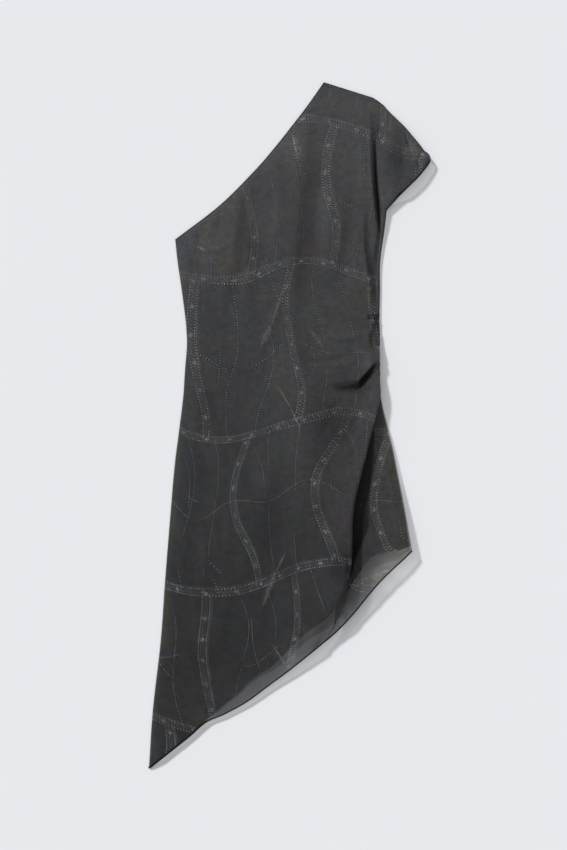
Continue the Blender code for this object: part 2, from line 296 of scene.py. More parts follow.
SHADED_POCKETS = (
    Pocket((Spot(160, 600, 1.4, 0.2), Spot(160.5, 562, 2.8, 0.6), Spot(162, 534, 3.6, 0.9),
            Spot(164, 495, 4.6, 1.0), Spot(166.3, 456, 5.3, 1.0), Spot(168.2, 437, 5.6, 1.0),
            Spot(170, 418, 5.2, 1.0), Spot(171, 398, 3.8, 1.0), Spot(171.8, 376, 2.0, 0.8)), 7.0),
    Pocket((Spot(149, 408, 4, 0.2), Spot(149, 378, 5, 0.4), Spot(150, 350, 6, 0.45),
            Spot(152.5, 321, 6, 0.5), Spot(155.5, 301, 6, 0.6), Spot(158, 275, 6, 0.5),
            Spot(163, 252, 5, 0.35), Spot(164, 236, 5, 0.1)), 8.0),
    Pocket((Spot(155, 209.5, 6.0, 0.68), Spot(170, 209.5, 6.0, 0.68)), 3.0),
    Pocket((Spot(164, 192, 5, 0.35), Spot(162, 174, 8, 0.5), Spot(163, 160, 10, 0.45),
            Spot(164, 146, 10, 0.25), Spot(164, 128, 8, 0.2)), 7.0),
    Pocket((Spot(168, 124, 0.9, 0.7), Spot(164, 118.8, 2.6, 0.95), Spot(158.8, 111.2, 3.8, 1.0),
            Spot(154.3, 103.6, 5.3, 1.0), Spot(149.5, 96, 5.8, 1.0), Spot(144.5, 90, 6.2, 1.0),
            Spot(140, 84, 6.2, 1.0), Spot(136.5, 78, 5.6, 1.0), Spot(132, 73.5, 4.8, 0.85),
            Spot(124, 72.5, 4.5, 0.6)), 4.5),
    Pocket((Spot(90, 75, 10, 0.36), Spot(108, 75.5, 11, 0.42), Spot(126, 75, 11, 0.58)), 9.0),
    Pocket((Spot(112, -300, 3, 0.7), Spot(108, -318, 5, 0.6), Spot(100, -338, 7, 0.5),
            Spot(92, -354, 6, 0.42), Spot(80, -372, 6, 0.45), Spot(70, -390, 8, 0.5),
            Spot(63, -404, 9, 0.7), Spot(56, -418, 10, 0.82), Spot(45, -436, 10, 0.82),
            Spot(33, -450, 8, 0.7)), 16.0),
    Pocket((Spot(189.5, 606, 1.2, 0.45), Spot(190, 578, 1.2, 0.3)), 3.0),
    Pocket((Spot(219, 578, 0.8, 0.4), Spot(227, 547, 1.2, 0.7), Spot(236, 520, 0.8, 0.4)), 2.0),
    Pocket((Spot(254, 526, 0.8, 0.3), Spot(247, 510, 1.6, 0.5), Spot(247, 494, 1.2, 0.3)), 3.0),
)
# Painted shadow beside the draped fold: the cloth's colour is darkened there.
FOLD_SHADOW = (
    Hollow(12, 0, 0.6), Hollow(-9, 4, 0.7), Hollow(-60, 14, 0.75), Hollow(-106, 23, 0.75),
    Hollow(-145, 30, 0.75), Hollow(-184, 34, 0.8), Hollow(-222, 37, 0.85), Hollow(-262, 21, 1.0),
    Hollow(-281, 12, 1.0), Hollow(-300, 8, 1.0), Hollow(-310, 5, 1.0), Hollow(-322, 2, 0.9),
    Hollow(-335, 0, 0.9),
)
# Uneven dye, with painted shade along troughs and painted light along ridges and the left edge.
DYE_AND_SHADE_PATCHES = (
    DyeAndShadePatch(10, 534, 26, 38, 0.14),
    DyeAndShadePatch(88, 622, 46, 34, 0.04),
    DyeAndShadePatch(-54, 408, 62, 30, 0.06),
    DyeAndShadePatch(-172, 350, 42, 32, 0.10),
    DyeAndShadePatch(20, 330, 20, 130, -0.12),
    DyeAndShadePatch(116, 400, 20, 70, -0.09),
    DyeAndShadePatch(74, 430, 16, 120, 0.05),
    DyeAndShadePatch(-90, 400, 14, 70, -0.06),
    DyeAndShadePatch(-72, 362, 14, 95, -0.14),
    DyeAndShadePatch(-213, 312, 12, 30, 0.15),
    DyeAndShadePatch(-226, -60, 20, 44, 0.12),
    DyeAndShadePatch(-227, -124, 13, 36, 0.09),
    DyeAndShadePatch(-232, -200, 15, 40, 0.18),
    DyeAndShadePatch(-242, -354, 12, 54, 0.16),
    DyeAndShadePatch(-266, -626, 9, 20, 0.16),
    DyeAndShadePatch(175, 340, 6, 30, 0.12),
    DyeAndShadePatch(89, 321, 14, 40, -0.11),
    DyeAndShadePatch(132, 114, 14, 14, -0.11),
    DyeAndShadePatch(-56, -108, 16, 20, 0.17),
    DyeAndShadePatch(60, -160, 16, 26, -0.14),
    DyeAndShadePatch(99, -21, 16, 20, -0.13),
    DyeAndShadePatch(110, -274, 5, 26, -0.3),
    DyeAndShadePatch(-169, -461, 20, 22, -0.14),
    DyeAndShadePatch(-173, -566, 15, 14, 0.17),
    DyeAndShadePatch(-10, -440, 15, 13, 0.28),
    DyeAndShadePatch(-246, -360, 9, 36, 0.1),
    DyeAndShadePatch(-161, 32, 24, 36, -0.12),
    DyeAndShadePatch(58, 489, 16, 40, -0.11),
    DyeAndShadePatch(78, -414, 8, 12, -0.22),
    DyeAndShadePatch(4, -408, 16, 12, 0.14),
    DyeAndShadePatch(36, -396, 14, 12, 0.28),
    DyeAndShadePatch(184, 10, 8, 22, 0.14),
    DyeAndShadePatch(43, 395, 15, 120, -0.15),
    DyeAndShadePatch(-12, 76, 30, 70, 0.20),
    DyeAndShadePatch(21, 128, 14, 34, -0.12),
    DyeAndShadePatch(110, 22, 20, 22, -0.15),
    DyeAndShadePatch(112, 96, 26, 16, -0.16),
    DyeAndShadePatch(72, -66, 28, 44, -0.15),
    DyeAndShadePatch(92, -258, 18, 34, -0.16),
    DyeAndShadePatch(-2, -283, 18, 26, -0.14),
    DyeAndShadePatch(-167, -325, 24, 40, -0.12),
    DyeAndShadePatch(206, -84, 20, 36, 0.2),
    DyeAndShadePatch(140, -336, 14, 18, 0.2),
    DyeAndShadePatch(172, 561, 9, 24, -0.14),
    DyeAndShadePatch(-28, -38, 48, 40, 0.05),
    DyeAndShadePatch(-128, 96, 56, 52, -0.05),
    DyeAndShadePatch(84, -2, 40, 34, -0.14),
    DyeAndShadePatch(60, 60, 26, 30, -0.06),
    DyeAndShadePatch(-40, -204, 26, 60, -0.05),
    DyeAndShadePatch(-175, -455, 90, 110, -0.04),
    DyeAndShadePatch(4, -434, 30, 24, 0.05),
    DyeAndShadePatch(66, -408, 24, 24, -0.20),
    DyeAndShadePatch(114, -356, 13, 18, 0.22),
    DyeAndShadePatch(98, -380, 9, 12, 0.18),
    DyeAndShadePatch(-20, -330, 30, 60, 0.05),
    DyeAndShadePatch(188, -60, 22, 80, 0.12),
    DyeAndShadePatch(206, -212, 28, 50, 0.19),
    DyeAndShadePatch(166, -290, 22, 18, 0.28),
    DyeAndShadePatch(192, -262, 24, 18, 0.32),
    DyeAndShadePatch(220, -246, 14, 12, 0.12),
    DyeAndShadePatch(-92, -528, 44, 26, 0.10),
    DyeAndShadePatch(-40, -500, 60, 26, 0.04),
    DyeAndShadePatch(252, 530, 12, 13, 0.16),
    DyeAndShadePatch(190, 438, 13, 20, 0.12),
    DyeAndShadePatch(186, 596, 30, 26, 0.05),
    DyeAndShadePatch(204, 526, 18, 46, -0.24),
    DyeAndShadePatch(238, 545, 11, 20, 0.16),
)
MARKS = (
    Mark(Point(3, 569), Point(16, 514), 1.7, 1.0),
    Mark(Point(10, 560), Point(20, 520), 9.0, 0.32),
    Mark(Point(-11, 272), Point(-37, 189), 4.0, 0.4),
    Mark(Point(-36, 194), Point(-56, 154), 8.0, 0.36),
    Mark(Point(-22, 73), Point(1, 34), 1.5, 0.6),
    Mark(Point(0, 36), Point(22, -10), 1.6, 0.75),
    Mark(Point(-182, 348), Point(-160, 337), 2.6, 0.6),
    Mark(Point(38, 186), Point(64, 152), 4.5, 0.32),
    Mark(Point(-202, -137), Point(-174, -151), 2.2, 0.45),
    Mark(Point(-8, -246), Point(-28, -284), 2.6, 0.5),
    Mark(Point(-26, -280), Point(-54, -354), 6.0, 0.4),
    Mark(Point(-36, -421), Point(-4, -471), 1.4, 0.7),
    Mark(Point(173, -65), Point(194, -95), 1.8, 0.5),
    Mark(Point(-169, 234), Point(-168, 218), 1.6, 0.35),
    Mark(Point(-168, -278), Point(-167, -295), 1.6, 0.35),
    Mark(Point(236, 556), Point(248, 538), 4.0, 0.4),
)


def smooth_step(share: Union[float, Array]) -> Union[float, Array]:
    """Ease from 0 to 1.

    Args:
        share: How far along the step, which is held between 0 and 1.

    Returns:
        The eased share.
    """
    share = np.clip(share, 0.0, 1.0)
    return share * share * (3.0 - 2.0 * share)


def unit(vectors: Array) -> Array:
    """Scale flat vectors to a length of one.

    Args:
        vectors: The vectors, along the last axis.

    Returns:
        The unit vectors.
    """
    return vectors / np.linalg.norm(vectors, axis=-1, keepdims=True)


def spline(values: Array, places: Array) -> Array:
    """Read a Catmull-Rom curve through evenly numbered values.

    Args:
        values: The values that the curve passes.
        places: Fractional numbers of the values to read at.

    Returns:
        A row for each place.
    """
    values = np.asarray(values, float)
    padded = np.vstack([2 * values[0] - values[1], values, 2 * values[-1] - values[-2]])
    spans = np.minimum(np.floor(places).astype(int), len(values) - 2)
    t = (np.asarray(places) - spans)[:, None]
    a, b, c, d = (padded[spans + step] for step in range(4))
    return 0.5 * (2 * b + (c - a) * t + (2 * a - 5 * b + 4 * c - d) * t**2
                  + (3 * b - a - 3 * c + d) * t**3)


def cornered_spline(values: Array, places: Array, corner: int) -> Array:
    """Read a curve that turns sharply at one of its values.

    Args:
        values: The values that the curve passes.
        places: Fractional numbers of the values to read at.
        corner: The number of the value at the corner.

    Returns:
        A row for each place.
    """
    values = np.asarray(values, float)
    upper = spline(values[:corner + 1], np.minimum(places, corner))
    lower = spline(values[corner:], np.maximum(places - corner, 0.0))
    return np.where((places < corner)[:, None], upper, lower)


def along(points: tuple[Point, ...], shares: Array) -> Array:
    """Return points of a smooth curve at shares of its length.

    Args:
        points: The points that the curve passes.
        shares: Shares of its length, from 0 to 1.

    Returns:
        A point for each share.
    """
    fine = spline(points, np.linspace(0, len(points) - 1, 40 * len(points)))
    run = np.concatenate([[0], np.cumsum(np.linalg.norm(np.diff(fine, axis=0), axis=1))])
    return np.stack([np.interp(shares, run / run[-1], fine[:, axis]) for axis in (0, 1)], 1)


def bulge(curve: tuple[Point, ...], shares: Array) -> Array:
    """Return how far a curve leaves the straight line between its ends.

    Args:
        curve: The points that the curve passes.
        shares: Shares of its length to read at.

    Returns:
        An offset for each share.
    """
    points = along(curve, shares)
    return points - (points[0] + (points[-1] - points[0]) * shares[:, None])


def near_path(x: Array, y: Array, path: tuple[Point, ...]) -> tuple[Array, Array, Array]:
    """Measure points against a smooth path.

    Args:
        x: Places across the dress.
        y: Places along the dress.
        path: The points that the path passes.

    Returns:
        The distance to the path, the side of it, and the share of it that is nearest.
    """
    count = 8 * (len(path) - 1)
    line = spline(path, np.linspace(0, len(path) - 1, count + 1))
    best = np.full(x.shape, np.inf)
    side, share = np.zeros(x.shape), np.zeros(x.shape)
    for index, (start, end) in enumerate(zip(line, line[1:])):
        run_x, run_y = end - start
        part = ((x - start[0]) * run_x + (y - start[1]) * run_y) / (run_x**2 + run_y**2)
        part = np.clip(part, 0.0, 1.0)
        off_x, off_y = x - start[0] - part * run_x, y - start[1] - part * run_y
        distance = np.hypot(off_x, off_y)
        nearer = distance < best
        best = np.where(nearer, distance, best)
        side = np.where(nearer, run_x * off_y - run_y * off_x, side)
        share = np.where(nearer, (index + part) / count, share)
    return best, side, share


def relief(x: Array, y: Array, creases: tuple[Crease, ...]) -> Array:
    """Add up the heights of creases.

    Args:
        x: Places across the dress.
        y: Places along the dress.
        creases: The ridges and troughs.

    Returns:
        The height at each place.
    """
    height = np.zeros(x.shape)
    fade = 0.08
    for crease in creases:
        reach = max(crease.left, crease.right)
        xs, ys = zip(*crease.path)
        near = ((x > min(xs) - reach) & (x < max(xs) + reach)
                & (y > min(ys) - reach) & (y < max(ys) + reach))
        distance, side, share = near_path(x[near], y[near], crease.path)
        width = np.where(side > 0, crease.right, crease.left)
        ends = np.sin(np.pi * (fade + (1 - 2 * fade) * share))
        swell = 0.5 + 0.5 * np.cos(np.pi * np.minimum(distance / width, 1.0))
        height[near] += crease.height * ends * swell
    return height


def ripple(x: Array, y: Array) -> Array:
    """Return the slight unevenness of washed cloth, from -1 to 1.

    Args:
        x: Places across the dress.
        y: Places along the dress.

    Returns:
        The unevenness at each place.
    """
    waves = ((0.061, 0.012, 0.3, 1.0), (-0.043, 0.037, 1.9, 0.8), (0.021, -0.071, 4.1, 0.7),
             (0.117, 0.052, 2.2, 0.5), (-0.094, 0.101, 5.3, 0.45), (0.171, -0.063, 0.9, 0.3))
    total = sum(size * np.sin(across * x + down * y + phase + 1.3 * np.sin(0.019 * y + phase))
                for across, down, phase, size in waves)
    return total / sum(wave[-1] for wave in waves)


def bed_height(x: Array, y: Array) -> Array:
    """Return the height that the beds give to every loose layer.

    Args:
        x: Places across the dress.
        y: Places along the dress.

    Returns:
        The height at each place.
    """
    return sum(bed.height * np.exp(-((x - bed.x) / bed.across)**2 - ((y - bed.y) / bed.along)**2)
               for bed in BEDS)


@dataclass(frozen=True)
class DressForm:
    """Works out where the layers of the laid dress are, within a few millimetres of the solids."""

    cloth: float = 1.0
    seam_gap: float = 0.3
    slack: float = 0.4
    puff: float = 3.0
    puff_reach: float = 34.0
    seam_ramp: float = 10.0
    side_ramp: float = 4.0
    side_swell: float = 2.8
    lining_ease: float = 50.0
    lining_lift: float = 0.94
    lining_reach: float = 0.28
    roll: float = 0.85
    least_roll: float = 4.0
    crest_reach: float = 46.0
    hem_reach: float = 4.6
    sleeve_reach: float = 4.2
    top_seam_reach: float = 0.9
    free_reach: float = 1.5
    back_inset: float = 4.0
    underarm_right: int = 5
    underarm_left: int = 6
    hip_first: int = 9
    hip: int = 13

    @property
    def last(self) -> int:
        """Number of the last section."""
        return len(SECTIONS) - 1

    @property
    def seam_top(self) -> float:
        """Height of the front at its seams."""
        return 2 * self.cloth + self.seam_gap

    @property
    def lined_top(self) -> float:
        """Height of the front where it lies on the lining."""
        return self.seam_top + self.seam_gap + self.cloth + self.slack

    def places(self, step: float, hip_step: float) -> Array:
        """Number the rows of a panel, with whole numbers at the sections.

        Args:
            step: Length of cloth between two rows.
            hip_step: The same beside the gathers at the hip.

        Returns:
            The rows' numbers, from the shoulder down.
        """
        places = [0.0]
        for index, (upper, lower) in enumerate(zip(SECTIONS, SECTIONS[1:])):
            left = math.hypot(lower.left_x - upper.left_x, lower.left_y - upper.left_y)
            fold = math.hypot(lower.fold_x - upper.fold_x, lower.fold_y - upper.fold_y)
            gathered = self.hip_first <= index < self.hip
            count = max(1, round((left + fold) / 2 / (hip_step if gathered else step)))
            places.extend(index + (part + 1) / count for part in range(count))
        return np.array(places)

    def edges(self, places: Array) -> tuple[Array, Array, Array, Array, Array]:
        """Read the sections' curves.

        Args:
            places: The rows' numbers.

        Returns:
            The left edge, the draped fold, the right edge, and the fold's rise and tuck.
        """
        left = cornered_spline([(s.left_x, s.left_y) for s in SECTIONS], places,
                               self.underarm_left)
        fold = spline([(s.fold_x, s.fold_y) for s in SECTIONS], places)
        right = cornered_spline([(s.right_x, s.right_y) for s in SECTIONS], places,
                                self.underarm_right)
        form = spline([(s.rise, s.tuck) for s in SECTIONS], places)
        return left, fold, right, form[:, 0], form[:, 1]

    def lining_height(self, x: Array, y: Array, from_right: Array) -> Array:
        """Return the height of the lining's upper face.

        Args:
            x: Places across the dress.
            y: Places along the dress.
            from_right: Their distance from the right edge.

        Returns:
            The height at each place.
        """
        ease = smooth_step((from_right + self.seam_ramp) / self.lining_ease)
        return self.seam_top + self.lining_lift * ease * bed_height(x, y)


@dataclass
class ClothGrid:
    """A panel's points in rows and columns, with what its maps hold."""

    points: Array
    cloth: Array
    painted_shade: Array
    pale: Array

    def mesh(self, name: str) -> bpy.types.Mesh:
        """Make the panel's mesh.

        Args:
            name: Name of the mesh.

        Returns:
            The mesh, in metres, with its three maps.
        """
        rows, columns = self.points.shape[:2]
        number = np.arange(rows * columns).reshape(rows, columns)
        corners = (number[:-1, :-1], number[1:, :-1], number[1:, 1:], number[:-1, 1:])
        faces = np.stack([corner.ravel() for corner in corners], 1)
        down, across = np.meshgrid(np.linspace(1, 0, rows), np.linspace(0, 1, columns),
                                   indexing="ij")
        maps = {
            MapName.BAKE: np.stack([across, down], -1),
            MapName.CLOTH: self.cloth * MM,
            # The Shade map holds the painted shade, then the paleness.
            MapName.SHADE: np.stack([self.painted_shade, self.pale], -1),
        }
        return panel_mesh(name, self.points.reshape(-1, 3), faces,
                          {key: value.reshape(-1, 2) for key, value in maps.items()})


def panel_mesh(name: str, points: Array, faces: Array, maps: dict[MapName, Array]) -> bpy.types.Mesh:
    """Make a smooth mesh with coordinate maps.

    Args:
        name: Name of the mesh.
        points: Its points in millimetres.
        faces: The numbers of each face's points.
        maps: For each map, a pair of values at each point.

    Returns:
        The mesh, in metres.
    """
    mesh = bpy.data.meshes.new(name)
    mesh.from_pydata((points * MM).tolist(), [], faces.tolist())
    mesh.shade_smooth()
    corners = np.zeros(len(mesh.loops), np.int32)
    mesh.loops.foreach_get("vertex_index", corners)
    for key, values in maps.items():
        layer = mesh.uv_layers.new(name=key.value)
        layer.uv.foreach_set("vector", np.ascontiguousarray(values[corners], np.float32).ravel())
    mesh.update()
    return mesh


def tube_mesh(name: str, path: Array, radius: Union[float, Array], sides: int) -> bpy.types.Mesh:
    """Make a closed tube along a path.

    Args:
        name: Name of the mesh.
        path: Points of the tube's middle, in millimetres.
        radius: Its radius, or one for each point.
        sides: Number of its sides.

    Returns:
        The mesh, in metres.
    """
    count = len(path)
    radii = np.broadcast_to(radius, (count,))
    way = np.gradient(path, axis=0)
    way /= np.linalg.norm(way, axis=1, keepdims=True)
    across = np.cross(way, (0.0, 0.0, 1.0))
    across /= np.linalg.norm(across, axis=1, keepdims=True)
    upward = np.cross(across, way)
    angles = np.linspace(0, 2 * np.pi, sides, endpoint=False)
    ring = np.cos(angles)[None, :, None] * across[:, None] + np.sin(angles)[None, :, None] * upward[:, None]
    points = path[:, None] + ring * radii[:, None, None]
    number = np.arange(count * sides).reshape(count, sides)
    after = np.roll(number, -1, axis=1)
    faces = np.stack([number[:-1], number[1:], after[1:], after[:-1]], -1).reshape(-1, 4).tolist()
    faces.append(number[0].tolist())
    faces.append(number[-1][::-1].tolist())
    mesh = bpy.data.meshes.new(name)
    mesh.from_pydata((points.reshape(-1, 3) * MM).tolist(), [], faces)
    mesh.shade_smooth()
    return mesh


class Wiring:
    """Adds nodes to a node tree and joins them."""

    def __init__(self, tree: bpy.types.NodeTree) -> None:
        """Keep the tree that nodes are added to."""
        self.tree = tree

    def feed(self, value: Value, socket: bpy.types.NodeSocket) -> None:
        """Link a socket to another, or set its value.

        Args:
            value: The socket that feeds it, or the value.
            socket: The input.
        """
        if isinstance(value, bpy.types.NodeSocket):
            self.tree.links.new(value, socket)
        else:
            socket.default_value = value

    def add(self, kind: str, inputs: dict[Union[str, int], Value], **settings: object) -> bpy.types.Node:
        """Add a node.

        Args:
            kind: Blender's name for the node's type.
            inputs: What feeds its inputs, by name or number.
            settings: Its other settings.

        Returns:
            The node.
        """
        node = self.tree.nodes.new(kind)
        for key, value in settings.items():
            setattr(node, key, value)
        for key, value in inputs.items():
            self.feed(value, node.inputs[key])
        return node

    def math(self, operation: str, *values: Value) -> bpy.types.NodeSocket:
        """Add a math node.

        Args:
            operation: Blender's name for the operation.
            values: What feeds its inputs.

        Returns:
            Its result.
        """
        return self.add("ShaderNodeMath", dict(enumerate(values)), operation=operation).outputs[0]

    def vector(self, operation: str, *values: Value, result: str = "Vector") -> bpy.types.NodeSocket:
        """Add a vector math node.

        Args:
            operation: Blender's name for the operation.
            values: What feeds its inputs.
            result: The output's name.

        Returns:
            Its result.
        """
        node = self.add("ShaderNodeVectorMath", dict(enumerate(values)), operation=operation)
        return node.outputs[result]

    def ease(self, value: Value, low: float, high: float, start: Value = 0.0,
             end: Value = 1.0) -> bpy.types.NodeSocket:
        """Ease from one value to another.

        Args:
            value: What is read.
            low: Where the step starts.
            high: Where it ends.
            start: The result up to low.
            end: The result from high.

        Returns:
            The eased value.
        """
        inputs = {0: value, 1: low, 2: high, 3: start, 4: end}
        node = self.add("ShaderNodeMapRange", inputs, interpolation_type="SMOOTHSTEP")
        return node.outputs[0]

    def mix(self, share: Value, first: Value, second: Value, blend: str = "MIX") -> bpy.types.NodeSocket:
        """Mix two colours.

        Args:
            share: Share of the second.
            first: The first colour.
            second: The second colour.
            blend: Blender's name for the way of mixing.

        Returns:
            The mixed colour.
        """
        inputs = {0: share, 6: first, 7: second}
        return self.add("ShaderNodeMix", inputs, data_type="RGBA", blend_type=blend).outputs[2]

    def noise(self, place: Value, size: float, detail: float, rough: float = 0.5,
              output: int = 0) -> bpy.types.NodeSocket:
        """Add a noise texture.

        Args:
            place: The position that it is read at.
            size: Size of its largest blotches, in the position's units.
            detail: Number of finer layers.
            rough: Strength of the finer layers.
            output: 0 for its value, 1 for its colour.

        Returns:
            The noise.
        """
        inputs = {"Vector": place, "Scale": 1 / size, "Detail": detail, "Roughness": rough}
        return self.add("ShaderNodeTexNoise", inputs).outputs[output]

    def map(self, name: MapName) -> bpy.types.NodeSocket:
        """Read one of the mesh's maps."""
        return self.add("ShaderNodeUVMap", {}, uv_map=name.value).outputs["UV"]

    def group(self, tree: bpy.types.NodeTree, **inputs: Value) -> bpy.types.Node:
        """Place a node group.

        Args:
            tree: The group.
            inputs: What feeds its inputs, by name, with underscores for spaces.

        Returns:
            The group's node.
        """
        node = self.tree.nodes.new("ShaderNodeGroup")
        node.node_tree = tree
        for key, value in inputs.items():
            self.feed(value, node.inputs[key.replace("_", " ")])
        return node


class Effect:
    """An effect that more than one material uses: a node group with named sockets."""

    name = "effect"
    inputs: tuple[tuple[str, str, Value], ...] = ()
    outputs: tuple[tuple[str, str], ...] = ()

    def __init__(self) -> None:
        """Make the group's sockets and its nodes."""
        self.tree = bpy.data.node_groups.new(self.name, "ShaderNodeTree")
        for label, kind, value in self.inputs:
            socket = self.tree.interface.new_socket(label, in_out="INPUT", socket_type=kind)
            if kind != "NodeSocketVector":
                socket.default_value = value
        for label, kind in self.outputs:
            self.tree.interface.new_socket(label, in_out="OUTPUT", socket_type=kind)
        wiring = Wiring(self.tree)
        given = wiring.add("NodeGroupInput", {}).outputs
        results = self.wire(wiring, given)
        wiring.add("NodeGroupOutput", results)

    def wire(self, wiring: Wiring, given: bpy.types.NodeOutputs) -> dict[Union[str, int], Value]:
        """Add the effect's nodes.

        Args:
            wiring: Adds nodes to the group.
            given: The group's inputs.

        Returns:
            What feeds the group's outputs, by name.
        """
        raise NotImplementedError


class FineWeave(Effect):
    """The tiny holes and threads of a stretch mesh or knit, with slightly uneven rows."""

    name = "fine_weave"
    inputs = (("Place", "NodeSocketVector", 0), ("Pitch", "NodeSocketFloat", 0.9))
    outputs = (("Height", "NodeSocketFloat"), ("Threads", "NodeSocketFloat"))

    def wire(self, wiring: Wiring, given: bpy.types.NodeOutputs) -> dict[Union[str, int], Value]:
        """Cross two sets of waves, and add uneven rows to them."""
        drift = wiring.noise(given["Place"], 9.0, 2.0)
        turn = wiring.math("DIVIDE", 2 * math.pi, given["Pitch"])
        parts = wiring.add("ShaderNodeSeparateXYZ", {0: given["Place"]}).outputs
        shift = wiring.math("MULTIPLY", drift, 2.2)
        across = wiring.math("SINE", wiring.math("MULTIPLY_ADD", parts[0], turn, shift))
        down = wiring.math("SINE", wiring.math("MULTIPLY_ADD", parts[1], turn, shift))
        net = wiring.math("MULTIPLY_ADD", wiring.math("MULTIPLY", across, down), 0.5, 0.5)
        long_place = wiring.vector("MULTIPLY", given["Place"], (1.0, 0.06, 1.0))
        rows = wiring.noise(long_place, 1.6, 3.0, 0.6)
        height = wiring.math("MULTIPLY_ADD", rows, 0.9, net)
        return {"Height": height, "Threads": net}


class WashedDye(Effect):
    """Black dye after many washes: blotches, warm and cool drifts, streaks and a fade."""

    name = "washed_dye"
    inputs = (
        ("Place", "NodeSocketVector", 0),
        ("Deep", "NodeSocketColor", (0.02, 0.02, 0.02, 1.0)),
        ("Faded", "NodeSocketColor", (0.05, 0.05, 0.05, 1.0)),
        ("Unevenness", "NodeSocketFloat", 1.0),
    )
    outputs = (("Colour", "NodeSocketColor"), ("Blotches", "NodeSocketFloat"))
    tints = (
        ((90.0, 40.0, 0.0), 52.0, (1.05, 1.04, 0.91, 1.0)),
        ((-60.0, 210.0, 0.0), 64.0, (0.91, 1.0, 1.03, 1.0)),
        ((330.0, -140.0, 0.0), 78.0, (1.02, 0.97, 1.03, 1.0)),
    )

    def wire(self, wiring: Wiring, given: bpy.types.NodeOutputs) -> dict[Union[str, int], Value]:
        """Mix two shades of the dye by the place along the dress and by noise."""
        place = given["Place"]
        parts = wiring.add("ShaderNodeSeparateXYZ", {0: place}).outputs
        wide = wiring.noise(place, 150.0, 3.0, 0.55)
        small = wiring.noise(place, 26.0, 4.0, 0.62)
        streaked = wiring.vector("MULTIPLY", place, (1.0, 0.18, 1.0))
        streaks = wiring.noise(streaked, 13.0, 3.0, 0.6)
        fade = wiring.ease(parts[1], -560.0, 620.0)
        blotches = wiring.math("MULTIPLY_ADD", small, 0.55, wiring.math("MULTIPLY", wide, 0.8))
        blotches = wiring.math("MULTIPLY_ADD", streaks, 0.35, blotches)
        swing = wiring.math("SUBTRACT", blotches, 0.85)
        share = wiring.math("MULTIPLY_ADD", swing, given["Unevenness"], fade)
        share = wiring.ease(share, -0.25, 1.25)
        colour = wiring.mix(share, given["Deep"], given["Faded"])
        for shift, size, tint in self.tints:
            spot = wiring.noise(wiring.vector("ADD", place, shift), size, 3.0)
            colour = wiring.mix(wiring.ease(spot, 0.46, 0.66), colour, tint, "MULTIPLY")
        mottle = wiring.ease(wiring.noise(place, 11.0, 3.0, 0.75), 0.3, 0.7, 0.86, 1.14)
        grain = wiring.ease(wiring.noise(place, 3.2, 3.0, 0.7), 0.25, 0.75, 0.88, 1.12)
        grain = wiring.math("MULTIPLY", grain, mottle)
        return {"Colour": wiring.mix(1.0, colour, grain, "MULTIPLY"), "Blotches": blotches}


class RubbedMark(Effect):
    """A pale streak where a hard crease has worn the dye."""

    name = "rubbed_mark"
    inputs = (
        ("Place", "NodeSocketVector", 0), ("Start", "NodeSocketVector", 0),
        ("End", "NodeSocketVector", 0), ("Width", "NodeSocketFloat", 2.0),
        ("Strength", "NodeSocketFloat", 1.0),
    )
    outputs = (("Mask", "NodeSocketFloat"),)

    def wire(self, wiring: Wiring, given: bpy.types.NodeOutputs) -> dict[Union[str, int], Value]:
        """Measure the distance to the streak, and thin it out towards its ends."""
        run = wiring.vector("SUBTRACT", given["End"], given["Start"])
        off = wiring.vector("SUBTRACT", given["Place"], given["Start"])
        share = wiring.math("DIVIDE", wiring.vector("DOT_PRODUCT", off, run, result="Value"),
                            wiring.vector("DOT_PRODUCT", run, run, result="Value"))
        share = wiring.math("MINIMUM", wiring.math("MAXIMUM", share, 0.0), 1.0)
        scaled = wiring.add("ShaderNodeVectorMath", {0: run, "Scale": share}, operation="SCALE")
        gap = wiring.vector("LENGTH", wiring.vector("SUBTRACT", off, scaled.outputs[0]), result="Value")
        middle = wiring.math("SINE", wiring.math("MULTIPLY", share, math.pi))
        width = wiring.math("MULTIPLY", given["Width"], wiring.math("ADD", middle, 0.25))
        streak = wiring.ease(wiring.math("DIVIDE", gap, width), 0.0, 1.0, 1.0, 0.0)
        grain = wiring.ease(wiring.noise(given["Place"], 6.0, 4.0, 0.75), 0.4, 0.58, 0.25, 1.0)
        ends = wiring.ease(middle, 0.0, 0.35)
        mask = wiring.math("MULTIPLY", wiring.math("MULTIPLY", streak, grain), ends)
        return {"Mask": wiring.math("MULTIPLY", mask, given["Strength"])}


@dataclass(frozen=True)
class Wave:
    """A sine wave that a line of the print follows. Sizes are in millimetres."""

    swing: float
    length: float
    phase: float = 0.0

    def read(self, wiring: Wiring, run: Value) -> tuple[bpy.types.NodeSocket, bpy.types.NodeSocket]:
        """Add the wave's nodes.

        Args:
            wiring: Adds nodes to the group.
            run: Distance along the wave.

        Returns:
            The wave's offset, and how much longer than its run the line is.
        """
        rate = 2 * math.pi / self.length
        angle = wiring.math("MULTIPLY_ADD", run, rate, self.phase)
        offset = wiring.math("MULTIPLY", wiring.math("SINE", angle), self.swing)
        tilt = wiring.math("MULTIPLY", wiring.math("COSINE", angle), self.swing * rate)
        return offset, wiring.math("SQRT", wiring.math("MULTIPLY_ADD", tilt, tilt, 1.0))


